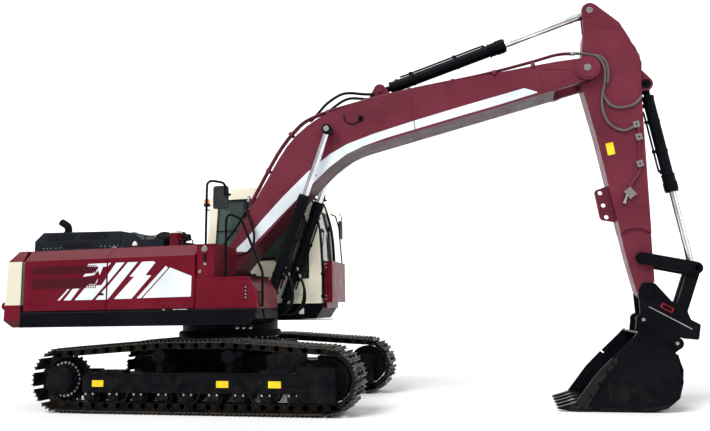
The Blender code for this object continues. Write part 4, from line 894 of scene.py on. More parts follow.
# ---------------------------------------------------------------- house
def side_panels():
    """Louvres, creases, handles and the white graphic on the right doors, and the left doors' fittings."""
    y = -LINE_HALF
    rear = Workpiece("right_rear_door_fittings")
    louvre_rows(rear, y, -1)
    graphic_rear(rear, y)
    panel_creases(rear, -2.775, -1.358, y, -1)
    rear.block((-1.48, -1.40), (y - 0.006, y), (1.700, 1.735), "black rubber", 0.004)
    rear.done("door_right_rear", None, 0.0015, 1)
    front = Workpiece("right_front_door_fittings")
    graphic_front(front, y)
    panel_creases(front, -1.342, 0.066, y, -1)
    front.done("door_right_front", None, 0.0015, 1)
    left = Workpiece("left_rear_door_fittings")
    louvre_rows(left, LINE_HALF, 1, -2.70, -1.86)
    panel_creases(left, -2.775, -1.758, LINE_HALF, 1)
    left.block((-1.90, -1.82), (LINE_HALF, LINE_HALF + 0.006), (1.700, 1.735), "black rubber", 0.004)
    left.done("door_left_rear", None, 0.0015, 1)
    other = Workpiece("left_front_door_fittings")
    louvre_rows(other, LINE_HALF, 1, -1.66, -0.84)
    panel_creases(other, -1.742, -0.752, LINE_HALF, 1)
    other.block((-0.90, -0.82), (LINE_HALF, LINE_HALF + 0.006), (1.560, 1.595), "black rubber", 0.004)
    other.done("door_left_front", None, 0.0015, 1)


def panel_creases(piece, rear, front, y, side):
    """The pressed step along the foot of a side door."""
    low, high = sorted((y, y + side * 0.010))
    piece.prism([(rear + 0.01, 1.492), (front - 0.01, 1.492), (front - 0.01, 1.560), (rear + 0.01, 1.560)],
                "Y", low, high, "burgundy side panels")
    edge = [(y, 1.640), (y + side * 0.010, 1.560), (y, 1.560)]
    piece.prism(edge, "X", rear + 0.01, front - 0.01, "burgundy side panels")


def louvre_rows(piece, y, side, rear=-2.622, front=-1.540):
    """Two rows of dark screened louvres with slats."""
    for low, high in ((2.040, 2.150), (1.822, 1.968)):
        near, far = sorted((y + side * 0.0012, y - side * 0.004))
        piece.block((rear, front), (near, far), (low, high), "louvre screen")
        frame_y = sorted((y, y + side * 0.004))
        piece.block((rear - 0.008, front + 0.008), frame_y, (high, high + 0.007), "burgundy side panels")
        piece.block((rear - 0.008, front + 0.008), frame_y, (low - 0.007, low), "burgundy side panels")
        step = 0.0386
        count = int((front - rear) / step)
        for i in range(count + 1):
            x = rear + i * (front - rear) / count
            slat = [(x - 0.006, low), (x + 0.006, low), (x + 0.006, high), (x - 0.006, high)]
            piece.prism(slat, "Y", *sorted((y, y + side * 0.006)), "burgundy side panels")


def decal(piece, outline, y):
    """A thin white graphic on the outer face of a right-hand door."""
    piece.prism(outline, "Y", y - 0.0022, y + 0.001, "white graphic")


def graphic_rear(piece, y):
    """The part of the slanted graphic that lies on the rear door."""
    decal(piece, [(-2.178, 1.642), (-2.140, 1.641), (-1.978, 1.806), (-2.010, 1.807)], y)
    decal(piece, [(-2.072, 1.640), (-1.954, 1.637), (-1.809, 1.812), (-1.926, 1.809)], y)
    decal(piece, [(-1.884, 1.640), (-1.588, 1.638), (-1.365, 1.868), (-1.365, 1.955), (-1.440, 1.853),
                  (-1.690, 1.847)], y)
    decal(piece, [(-1.660, 1.872), (-1.560, 1.872), (-1.470, 1.985), (-1.500, 2.075), (-1.560, 2.012),
                  (-1.620, 2.000), (-1.760, 1.985), (-1.720, 2.030), (-1.600, 2.040), (-1.540, 2.060),
                  (-1.490, 2.128), (-1.700, 2.140), (-1.670, 2.176), (-1.365, 2.180), (-1.365, 2.128),
                  (-1.420, 2.126), (-1.500, 1.925), (-1.535, 1.862), (-1.640, 1.858)], y)
    decal(piece, [(-1.533, 1.637), (-1.362, 1.636), (-1.362, 1.815)], y)


def graphic_front(piece, y):
    """The part of the slanted graphic that lies on the front door."""
    decal(piece, [(-1.338, 1.852), (-1.338, 1.640), (-1.328, 1.640), (-0.847, 2.180), (-1.010, 2.180),
                  (-1.338, 1.830)], y)
    decal(piece, [(-1.338, 1.885), (-1.338, 2.010), (-1.205, 2.180), (-1.062, 2.181)], y)
    decal(piece, [(-1.338, 2.128), (-1.290, 2.180), (-1.338, 2.180)], y)
    decal(piece, [(-1.226, 1.642), (-0.937, 1.641), (-0.622, 1.974), (-0.718, 1.980), (-0.560, 2.160),
                  (-0.590, 2.181), (-0.774, 2.181), (-0.976, 1.968), (-0.902, 1.963)], y)
    decal(piece, [(-0.854, 1.644), (-0.781, 1.646), (-0.352, 2.076), (-0.392, 2.108)], y)
    decal(piece, [(-0.754, 1.646), (0.015, 1.652), (0.021, 1.947), (-0.323, 2.081)], y)


def tail_details():
    """The joint lines, lifting eyes and lamps of the counterweight."""
    tail = Workpiece("counterweight_fittings")
    for side in (-1, 1):
        for x, z in ((-3.06, 2.421), (-3.30, 2.421)):
            eye = [(x - 0.06, z - 0.004), (x + 0.06, z - 0.004), (x + 0.045, z + 0.03), (x + 0.02, z + 0.058),
                   (x - 0.02, z + 0.058), (x - 0.045, z + 0.03)]
            tail.prism(eye, "Y", side * 0.78 - 0.015, side * 0.78 + 0.015, "burgundy paint")
        y = side * LINE_HALF
        seam = sorted((y - side * 0.010, y + side * 0.0015))
        tail.block((-2.8305, -2.818), seam, (1.262, 2.250), "black rubber")
        lamp = Vector((-3.412, side * 1.10, 1.58))
        tail.lathe(lamp, (-1, 0, 0), [(0, 0.062), (0.012, 0.062), (0.020, 0.052), (0.022, 0.030)],
                   "red housing", 24)
    for y in (-0.42, 0.42):
        tail.disc((-3.478, y, 1.40), (-1, 0, 0), 0.045, 0.010, "black rubber", 20)
    tail.block((-3.4985, -3.494), (-0.34, 0.34), (1.86, 2.10), "cream paint brightened as painted light", 0.004)
    tail.done("upperstructure", "body_red", 0.004, 2)


def deck_details():
    """Trim along the deck, drain bolts and the hoses' bulkhead under the tank."""
    deck = Workpiece("deck_fittings")
    for y, side in ((-LINE_HALF, -1), (LINE_HALF, 1)):
        near = sorted((y, y + side * 0.008))
        front = 0.99 if side < 0 else 1.43
        deck.block((-2.822, front), near, (1.445, 1.468), "black rubber", 0.004)
        deck.block((-2.822, front - 0.08), near, (1.243, 1.262), "black paint", 0.004)
        for i in range(9):
            deck.bolt((-2.6 + i * 0.42, y + side * 0.002, 1.300), (0, side, 0), 0.020, "black paint")
    for x in (0.70, 0.80, 0.90):
        deck.disc((x, -1.38, 1.242), DOWN, 0.028, 0.045, "black rubber", 16)
        deck.bolt((x, -1.38, 1.198), DOWN, 0.034, "bright steel")
    deck.prism(rounded_box((1.02, 1.360), (1.105, 1.455), 0.008), "Y", 0.4915, 0.4995, "white graphic")
    deck.block((0.50, 0.99), (-1.30, -0.70), (1.470, 1.474), "black rubber")
    deck.done("upperstructure", "frame_black", 0.003, 2)


def top_details():
    """What stands on the roof of the house: cap, breather, cylinders of filters and grips."""
    top = Workpiece("roof_fittings")
    top.lathe((-0.52, -0.92, ROOF_Z), (0, 0, 1), [
        (0, 0.155), (0.012, 0.150), (0.030, 0.125), (0.034, 0.102), (0.205, 0.102), (0.212, 0.106),
        (0.222, 0.106), (0.226, 0.085)], "burgundy paint", 32)
    top.lathe((-0.52, -0.92, 2.645), (0, 0, 1), [(0, 0.098), (0.022, 0.096), (0.040, 0.075), (0.052, 0.030),
                                               (0.066, 0.024), (0.070, 0.004)], "white cap", 32)
    top.lathe((-1.17, -1.02, ROOF_Z), (0, 0, 1), [(0, 0.075), (0.010, 0.072), (0.018, 0.036), (0.05, 0.034)],
              "burgundy paint", 24)
    top.lathe((-1.17, -1.02, 2.469), (0, 0, 1), [(0, 0.040), (0.030, 0.040), (0.042, 0.030), (0.060, 0.022),
                                               (0.072, 0.006)], "white cap", 24)
    top.lathe((-0.86, -1.02, ROOF_Z), (0, 0, 1), [(0, 0.034), (0.018, 0.030), (0.030, 0.012), (0.052, 0.008)],
              "black rubber", 16)
    for x, y in ((-0.10, -1.16), (-0.08, -0.80), (-1.30, -1.18)):
        top.lathe((x, y, ROOF_Z), (0, 0, 1), [(0, 0.022), (0.014, 0.020), (0.026, 0.010)],
                  "burgundy paint", 16)
    top.block((-1.02, -0.10), (-1.18, -0.72), (2.420, 2.4255), "black rubber")
    for i in range(16):
        top.block((-1.00 + i * 0.056, -0.975 + i * 0.056), (-1.16, -1.06), (2.4255, 2.430), "black rubber")
    grip = [(-0.30, -1.22, 2.42), (-0.30, -1.22, 2.50), (-0.10, -1.22, 2.50), (-0.10, -1.22, 2.42)]
    top.tube(grip, 0.010, "black paint", 10, 5)
    top.done("upperstructure", "body_red", 0.002, 2)
    cover = Workpiece("cooling_cover_fittings")
    cover.lathe((-0.98, -0.44, 2.58), (0, 0, 1), [(0, 0.165), (0.05, 0.165), (0.11, 0.135), (0.15, 0.080),
                                                (0.165, 0.02)], "black rubber", 28)
    cover.lathe((-0.80, -0.70, 2.60), (1, 0, 0), [(0, 0.085), (0.01, 0.095), (0.30, 0.095), (0.34, 0.06),
                                                (0.40, 0.055)], "black rubber", 24)
    for i in range(10):
        x = -1.06 + i * 0.034
        cover.block((x, x + 0.014), (-0.10, 0.62), (2.580, 2.590), "black rubber")
    for y in (-0.84, 0.74):
        cover.tube([(-1.10, y, 2.578), (-1.10, y, 2.63), (-0.86, y, 2.63), (-0.86, y, 2.578)], 0.009,
                   "black paint", 8, 4)
    cover.done("upperstructure", "frame_black", 0.004, 2)


def hood_details():
    """The louvres, vents, hinges and latches of the engine hood, and the bend of its exhaust."""
    hood = Workpiece("hood_fittings")
    slope_low, slope_high = Vector((-3.052, 0, 2.642)), Vector((-2.925, 0, 2.752))
    for side in (-1, 1):
        y = side * 0.90
        near = sorted((y - side * 0.002, y + side * 0.0014))
        for low, high in ((-2.86, -2.35), (-2.24, -1.72)):
            count = 11
            for i in range(count):
                x = low + (high - low) * i / count
                slot = [(x, 2.615), (x + 0.024, 2.615), (x + 0.056, 2.715), (x + 0.032, 2.715)]
                hood.prism(slot, "Y", *near, "black rubber")
                lip = [(x + 0.024, 2.615), (x + 0.030, 2.615), (x + 0.062, 2.715), (x + 0.056, 2.715)]
                hood.prism(lip, "Y", *sorted((y, y + side * 0.006)), "hood paint")
        for x in (-2.93, -2.86, -2.79, -2.70, -2.62, -1.88, -1.80, -1.72, -1.64, -1.58):
            hood.disc((x, y, 2.525), (0, side, 0), 0.015, 0.004, "black rubber", 14)
            hood.bolt((x + 0.03, y, 2.498), (0, side, 0), 0.013, "bright steel")
        hood.block((-2.52, -1.98), near, (2.49, 2.55), "black rubber", 0.003)
        hood.block((-3.06, -1.51), sorted((y, y + side * 0.007)), (2.576, 2.586), "hood paint", 0.003)
        hood.block((-3.062, -1.51), sorted((y, y + side * 0.010)), (2.424, 2.444), "hood paint", 0.004)
        hood.block((-1.64, -1.56), sorted((y, y + side * 0.016)), (2.445, 2.480), "bright steel", 0.004)
    for i in range(9):
        y = -0.72 + i * 0.18
        hood.sheet([slope_low + Vector((0, y, 0)), slope_low + Vector((0, y + 0.10, 0)),
                    slope_high + Vector((0, y + 0.10, 0)), slope_high + Vector((0, y, 0))], 0.003,
                   (-0.65, 0, 0.75), "black rubber")
    hood.block((-2.72, -1.62), (-0.66, 0.66), (2.742, 2.758), "hood paint", 0.006)
    for i in range(14):
        hood.block((-2.66 + i * 0.074, -2.63 + i * 0.074), (0.02, 0.56), (2.757, 2.7635), "black rubber")
    hood.block((-2.90, -2.66), (-0.57, -0.33), (2.750, 2.762), "hood paint", 0.006)
    hood.bolt_ring((-2.78, -0.45, 2.762), (0, 0, 1), 0.092, 6, 0.018, "bright steel")
    for y in (-0.45, 0.45):
        hood.lathe((-1.512, y - 0.05, 2.742), (0, 1, 0), [(0, 0.016), (0.10, 0.016)], "black casting", 12)
    hood.done("engine_cover", "frame_black", 0.003, 2)
    lip = Workpiece("exhaust_lip")
    lip.lathe((-2.78, -0.45, 2.762), (0, 0, 1), [(0, 0.075), (0.05, 0.075), (0.056, 0.064)], "black pipe", 28)
    lip.done("engine_cover", "frame_black", 0.002)


def tank_details():
    """The tank's caps, latches, lamp slot and folded top, with the pipes at its front."""
    tank = Workpiece("tank_fittings")
    y = -LINE_HALF
    tank.lathe((0.205, y + 0.032, 2.335), (0, -1, 0), [(0, 0.046), (0.012, 0.046), (0.016, 0.040),
                                                      (0.030, 0.036)], "bright steel", 24)
    tank.block((0.195, 0.228), (y + 0.005, y + 0.035), (2.150, 2.265), "black rubber", 0.006)
    tank.bolt((0.213, y + 0.028, 2.118), (0, -1, 0), 0.030, "bright steel")
    tank.bolt((0.135, y + 0.028, 2.010), (0, -1, 0), 0.030, "bright steel")
    tank.block((0.085, 0.362), (y + 0.020, y + 0.032), (2.385, 2.408), "burgundy paint", 0.005)
    panel = [(0.100, 1.492), (0.836, 1.492), (0.836, 1.782), (0.700, 1.900), (0.100, 1.900)]
    tank.prism(panel, "Y", y - 0.007, y + 0.001, "burgundy paint")
    rim = [(0.290, 1.921), (0.880, 1.921), (0.906, 1.900), (0.906, 1.893), (0.290, 1.893)]
    tank.prism(rim, "Y", y - 0.012, y + 0.004, "burgundy paint")
    slot = rounded_box((0.838, 1.600), (0.878, 1.800), 0.012)
    tank.prism(slot, "Y", y - 0.002, y + 0.004, "black rubber")
    for z in (1.622, 1.668, 1.715, 1.768):
        tank.disc((0.858, y - 0.002, z), (0, -1, 0), 0.013, 0.010, "bright steel", 14)
    for z in (1.56, 1.70, 1.84):
        tank.bolt((1.031, -1.39, z), (1, 0, 0), 0.018, "burgundy paint")
    for x, w in ((0.55, -1.05), (0.80, -1.05)):
        tank.lathe((x, w, 1.919), (0, 0, 1), [(0, 0.066), (0.012, 0.066), (0.018, 0.052), (0.045, 0.052),
                                             (0.052, 0.042)], "black rubber", 24)
    tank.block((0.40, 1.00), (-1.40, -0.70), (1.9195, 1.9235), "black rubber")
    for i in range(10):
        tank.block((0.42 + i * 0.058, 0.445 + i * 0.058), (-1.38, -1.20), (1.9235, 1.929), "black rubber")
    tank.done("upperstructure", "body_red", 0.003, 2)
    mirror = Workpiece("right_mirror_housing")
    low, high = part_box("right_mirror")
    x0, x1 = low.x - SLEW_X, high.x - SLEW_X
    outline = rounded_box((x0, low.z), (x1, high.z), 0.035, 4)
    middle = Vector(((x0 + x1) / 2, 0, (low.z + high.z) / 2))
    rings = []
    for y, grow in ((high.y, 0.97), (low.y + 0.030, 1.0), (low.y + 0.016, 0.93), (low.y + 0.002, 0.55)):
        rings.append(mirror.ring([(middle.x + (a - middle.x) * grow, y, middle.z + (b - middle.z) * grow)
                                  for a, b in outline]))
    mirror.skin(rings, "grey plastic")
    mirror.prism([(middle.x + (a - middle.x) * 0.9, middle.z + (b - middle.z) * 0.9) for a, b in outline],
                 "Y", high.y - 0.001, high.y + 0.0012, "hard chrome")
    mirror.tube([(x0 + 0.24, low.y - 0.010, low.z + 0.18), (x0 + 0.30, low.y - 0.006, low.z + 0.20),
                 (0.42, -1.20, low.z + 0.22)], 0.012, "black paint")
    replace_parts(mirror.done("upperstructure", "grey_plastic", 0.004, 2), "right_mirror")


class EXCAVATOR_OT_house(bpy.types.Operator):
    """Make the louvres, graphics, hood, tank and tail fittings of the house"""

    bl_idname = "excavator.house"
    bl_label = "House fittings"

    def execute(self, context):
        side_panels()
        tail_details()
        deck_details()
        top_details()
        hood_details()
        tank_details()
        return {"FINISHED"}


# ---------------------------------------------------------------- cab
def window_seal(piece, outline, y, side, width=0.022):
    """A rubber seal that follows a window's outline on a wall."""
    path = [Vector((a, y + side * 0.004, b)) for a, b in outline]
    path.append(path[0])
    piece.tube(path, width / 2, "black rubber", 8, 1)


def cab_details():
    """Seals, frames, wiper, beacon, lamps, grips and roof of the cab."""
    cab = Workpiece("cab_fittings")
    right_window = [(-0.52, 2.29), (0.58, 2.29), (0.85, 1.96), (1.19, 1.96), (1.20, 2.80), (0.98, 3.37),
                    (-0.46, 3.37)]
    window_seal(cab, right_window, 0.500, -1)
    cab.prism([(-0.52, 2.282), (0.60, 2.282), (0.60, 2.33), (-0.52, 2.33)], "Y", 0.490, 0.500, "black rubber")
    for x in (0.045, 0.30):
        cab.prism([(x - 0.022, 2.30), (x + 0.022, 2.30), (x + 0.022, 3.37), (x - 0.022, 3.37)], "Y",
                  0.493, 0.507, "black rubber")
    cab.prism([(-0.50, 2.815), (0.30, 2.815), (0.30, 2.835), (-0.50, 2.835)], "Y", 0.494, 0.507,
              "black rubber")
    lower = rounded_box((-0.20, 1.66), (0.72, 1.78), 0.03)
    cab.prism(lower, "Y", 0.4945, 0.5005, "cream paint brightened as painted light")
    step = [(-0.60, 1.60), (0.86, 1.60), (1.10, 1.90), (1.10, 1.93), (0.84, 1.93), (0.56, 2.25),
            (-0.60, 2.25)]
    cab.prism(step, "Y", 0.4965, 0.5005, "cream paint brightened as painted light")
    handle = [(0.92, 0.486, 1.70), (0.92, 0.470, 1.70), (1.08, 0.470, 1.70), (1.08, 0.486, 1.70)]
    cab.tube(handle, 0.008, "cream paint brightened as painted light", 8, 3)
    front = [(1.405, 1.62), (1.405, 2.10), (1.360, 2.80), (1.235, 3.28), (1.170, 3.38)]
    for y in (0.560, 1.400):
        cab.tube([(x + 0.006, y, z) for x, z in front], 0.026, "black rubber", 10, 4)
    cab.tube([(1.415, y, 2.245) for y in (0.55, 0.80, 1.20, 1.41)], 0.016, "black rubber", 8, 1)
    cab.tube([(1.41, y, 1.640) for y in (0.56, 0.80, 1.20, 1.40)], 0.018, "black rubber", 8, 1)
    cab.tube([(1.17, y, 3.390) for y in (0.56, 0.80, 1.20, 1.40)], 0.024, "black rubber", 8, 1)
    cab.tube([(1.375, 1.15, 2.85), (1.395, 1.02, 2.60), (1.418, 0.90, 2.34)], 0.008, "black rubber", 8, 3)
    cab.tube([(1.392, 0.93, 2.72), (1.424, 0.90, 2.34), (1.436, 0.87, 2.12)], 0.010, "black rubber", 8, 3)
    cab.block((1.372, 1.41), (1.10, 1.20), (2.82, 2.90), "black rubber", 0.01)
    cab.block((0.00, 0.72), (0.66, 1.30), (3.556, 3.580), "cream paint brightened as painted light", 0.012)
    cab.block((-0.40, -0.10), (0.70, 1.26), (3.560, 3.590), "black rubber", 0.012)
    for y in (0.56, 1.40):
        cab.tube([(-0.46, y, 3.575), (0.40, y, 3.578), (0.97, y, 3.560)], 0.012, "cream paint brightened as painted light", 8, 3)
    cab.tube([(-0.60, 0.62, 3.22), (-0.72, 0.60, 3.24), (-0.735, 0.60, 3.30)], 0.012, "black paint", 8, 4)
    cab.lathe((-0.735, 0.60, 3.300), (0, 0, 1), [(0, 0.058), (0.035, 0.062), (0.045, 0.055)],
              "black rubber", 28)
    cab.lathe((-0.735, 0.60, 3.343), (0, 0, 1), [(0, 0.052), (0.055, 0.050), (0.085, 0.038), (0.100, 0.018),
                                               (0.106, 0.004)], "amber lens", 28)
    lamp(cab, Vector((1.28, 0.98, 3.452)), (1, 0, 0.05))
    lamp(cab, Vector((1.28, 1.26, 3.452)), (1, 0, 0.05))
    for y in (0.98, 1.26):
        cab.tube([(1.20, y, 3.37), (1.26, y, 3.385), (1.32, y, 3.40)], 0.012, "black paint", 8, 3)
    cab.prism(rounded_box((0.62, 2.44), (1.34, 2.60), 0.02), "X", -0.676, -0.670, "louvre screen")
    for z in (1.62, 1.80):
        cab.bolt((1.395, 1.458, z), (0, 1, 0), 0.022, "cream paint brightened as painted light")
    cab.block((-0.60, 0.04), (1.458, 1.466), (1.60, 2.20), "cream paint brightened as painted light", 0.004)
    for i in range(7):
        cab.block((-0.54, -0.06), (1.464, 1.471), (1.70 + i * 0.06, 1.722 + i * 0.06), "black rubber", 0.002)
    cab.done("upperstructure", "cab_cream", 0.003, 2)
    door = Workpiece("cab_door_fittings")
    window_seal(door, [(0.19, 2.11), (1.11, 2.11), (1.12, 2.72), (0.92, 3.33), (0.19, 3.33)], 1.458, 1)
    door.prism([(0.19, 2.70), (1.11, 2.70), (1.11, 2.73), (0.19, 2.73)], "Y", 1.440, 1.462, "black rubber")
    door.tube([(1.08, 1.462, 1.95), (1.08, 1.500, 1.95), (1.08, 1.500, 2.55), (1.08, 1.462, 2.55)], 0.013,
              "black paint", 10, 4)
    door.prism(rounded_box((0.90, 1.78), (1.05, 1.88), 0.02), "Y", 1.459, 1.474, "black rubber")
    door.prism(rounded_box((0.20, 1.66), (1.10, 2.00), 0.05), "Y", 1.459, 1.464, "cream paint brightened as painted light")
    door.done("cab_entry", "cab_cream", 0.003, 2)


def lamp(piece, centre, direction):
    """A square work lamp."""
    way = Vector(direction).normalized()
    piece.lathe(centre - way * 0.055, way, [(0, 0.030), (0.015, 0.052), (0.060, 0.064), (0.075, 0.066)],
                "black rubber", 8)
    piece.lathe(centre + way * 0.017, way, [(0, 0.058), (0.006, 0.052)], "clear lens", 8)


def cab_inside():
    """Levers, consoles, dash and the seat's padding."""
    middle = 0.98
    floor = 1.590
    inside = Workpiece("cab_controls")
    for y in (middle - 0.27, middle + 0.26):
        inside.lathe((0.30, y, floor + 0.50), (0.1, 0, 1), [
            (0, 0.055), (0.03, 0.05), (0.07, 0.018), (0.16, 0.016), (0.17, 0.028), (0.28, 0.032),
            (0.31, 0.020)], "black rubber", 16)
    inside.block((0.98, 1.14), (0.60, 0.84), (floor, floor + 0.62), "grey plastic", 0.03)
    inside.block((0.96, 1.10), (0.62, 0.90), (floor + 0.62, floor + 0.86), "black rubber", 0.03)
    for y in (middle - 0.12, middle + 0.10):
        inside.tube([(0.82, y, floor + 0.02), (0.80, y, floor + 0.30), (0.74, y, floor + 0.62)], 0.013,
                    "black paint", 8, 3)
        inside.block((0.78, 0.98), (y - 0.05, y + 0.05), (floor + 0.03, floor + 0.055), "black rubber", 0.008)
        inside.lathe((0.74, y, floor + 0.60), (-0.1, 0, 1), [(0, 0.02), (0.02, 0.026), (0.10, 0.026),
                                                           (0.12, 0.016)], "black rubber", 12)
    inside.block((-0.20, 1.10), (0.58, 1.38), (floor - 0.001, floor + 0.012), "black rubber")
    inside.done("upperstructure", "grey_plastic", 0.004, 2)
    for name, node_name in (("padded_cushion", "seat_cushion"), ("padded_back", "seat_back")):
        low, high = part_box(node_name)
        seat = Workpiece(name)
        x0, x1, y0, y1, z0, z1 = (low.x - SLEW_X, high.x - SLEW_X, low.y, high.y, low.z, high.z)
        if name == "padded_cushion":
            rows = [(0.00, 0.80), (0.18, 0.97), (0.50, 1.0), (0.80, 0.97), (0.97, 0.86), (1.0, 0.55)]
            rings = []
            for share, grow in rows:
                outline = rounded_box((x0, y0), (x1, y1), 0.07, 4)
                cx, cy = (x0 + x1) / 2, (y0 + y1) / 2
                rings.append(seat.ring([(cx + (a - cx) * grow, cy + (b - cy) * grow, z0 + (z1 - z0) * share)
                                        for a, b in outline]))
            seat.skin(rings, "seat cloth")
        else:
            rings = []
            for share, grow in ((0.0, 0.80), (0.06, 0.95), (0.25, 1.0), (0.55, 0.98), (0.80, 0.88),
                                (0.93, 0.72), (1.0, 0.50)):
                z = z0 + (z1 - z0) * share
                front = -0.182 - 0.060 * max(0.0, share - 0.12) / 0.88
                rear = -0.318 - 0.060 * share
                cy, reach = (y0 + y1) / 2, 0.178 * grow
                outline = rounded_box((rear, cy - reach), (front, cy + reach), 0.045, 4)
                rings.append(seat.ring([(a, b, z) for a, b in outline]))
            seat.skin(rings, "seat cloth")
        piece = seat.done("upperstructure", "seat_cloth", 0)
        smooth = piece.modifiers.new("padding", "SUBSURF")
        smooth.levels = 1
        smooth.render_levels = 1
        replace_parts(piece, node_name)


def front_details():
    """The flaps, hinges and fixings of the panel ahead of the cab, the left rail and its mirror."""
    front = Workpiece("front_locker_fittings")
    front.block((1.468, 1.602), (0.499, 0.512), (1.552, 2.238), "burgundy paint", 0.003)
    for z in (1.60, 1.66, 2.13, 2.19):
        front.bolt((1.495, 0.4985, z), (0, -1, 0), 0.017, "bright steel")
    for z in (1.57, 1.72, 1.90, 2.06, 2.21):
        front.disc((1.545, 0.4985, z), (0, -1, 0), 0.005, 0.004, "black rubber", 10)
    front.block((1.520, 1.526), (0.4965, 0.500), (1.57, 2.22), "black rubber")
    front.block((1.600, 1.604), (0.56, 1.36), (1.62, 2.17), "burgundy paint", 0.004)
    for z in (2.00, 1.62):
        front.block((1.405, 1.470), (0.50, 0.56), (z, z + 0.055), "black paint", 0.01)
    front.done("upperstructure", "body_red", 0.002, 2)
    mirror = Workpiece("left_mirror_housing")
    low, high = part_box("left_mirror")
    outline = rounded_box((low.y, low.z), (high.y, high.z), 0.04, 4)
    cy, cz = (low.y + high.y) / 2, (low.z + high.z) / 2
    rings = []
    for x, grow in ((low.x - SLEW_X, 0.96), (low.x - SLEW_X + 0.018, 1.0), (low.x - SLEW_X + 0.032, 0.92),
                    (high.x - SLEW_X - 0.001, 0.5)):
        rings.append(mirror.ring([(x, cy + (a - cy) * grow, cz + (b - cz) * grow) for a, b in outline]))
    mirror.skin(rings, "grey plastic")
    mirror.tube([(1.552, cy + 0.05, cz + 0.10), (1.56, 1.36, cz + 0.26), (1.50, 1.398, cz + 0.30)], 0.010,
                "black paint", 8, 4)
    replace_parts(mirror.done("upperstructure", "grey_plastic", 0.004, 2), "left_mirror")
    rails = Workpiece("handrail_fittings")
    for x, y, z in ((1.05, -1.30, 1.49), (0.48, -1.30, 1.920), (0.16, -1.30, 2.411)):
        rails.disc((x, y, z), (0, 0, 1), 0.036, 0.012, "black paint", 20)
    rails.tube([(1.052, -1.30, 1.70), (1.052, -1.34, 1.70), (1.045, -1.36, 1.69)], 0.012, "black paint")
    rails.tube([(1.05, -1.30, 1.46), (1.07, -1.30, 1.36), (1.07, -1.30, 1.30), (0.98, -1.30, 1.28)], 0.017,
               "black paint", 10, 4)
    rails.done("upperstructure", "frame_black", 0.002, 2)


class EXCAVATOR_OT_cab(bpy.types.Operator):
    """Make the cab's seals, lamps, wiper, controls and seat, and what stands in front of it"""

    bl_idname = "excavator.cab"
    bl_label = "Cab fittings"

    def execute(self, context):
        cab_details()
        cab_inside()
        front_details()
        return {"FINISHED"}


# ---------------------------------------------------------------- boom, arm and cylinders
def pin_head(piece, pin, y, side, radius):
    """A pin's end plate with its keeper bolt."""
    out = Vector((0, side, 0))
    piece.disc((pin.x, y, pin.z), out, radius * 1.55, 0.010, "burgundy paint", 28)
    piece.disc((pin.x, y + side * 0.009, pin.z), out, radius, 0.012, "bright steel", 28)
    piece.bolt((pin.x, y + side * 0.020, pin.z), out, radius * 0.6, "bright steel")


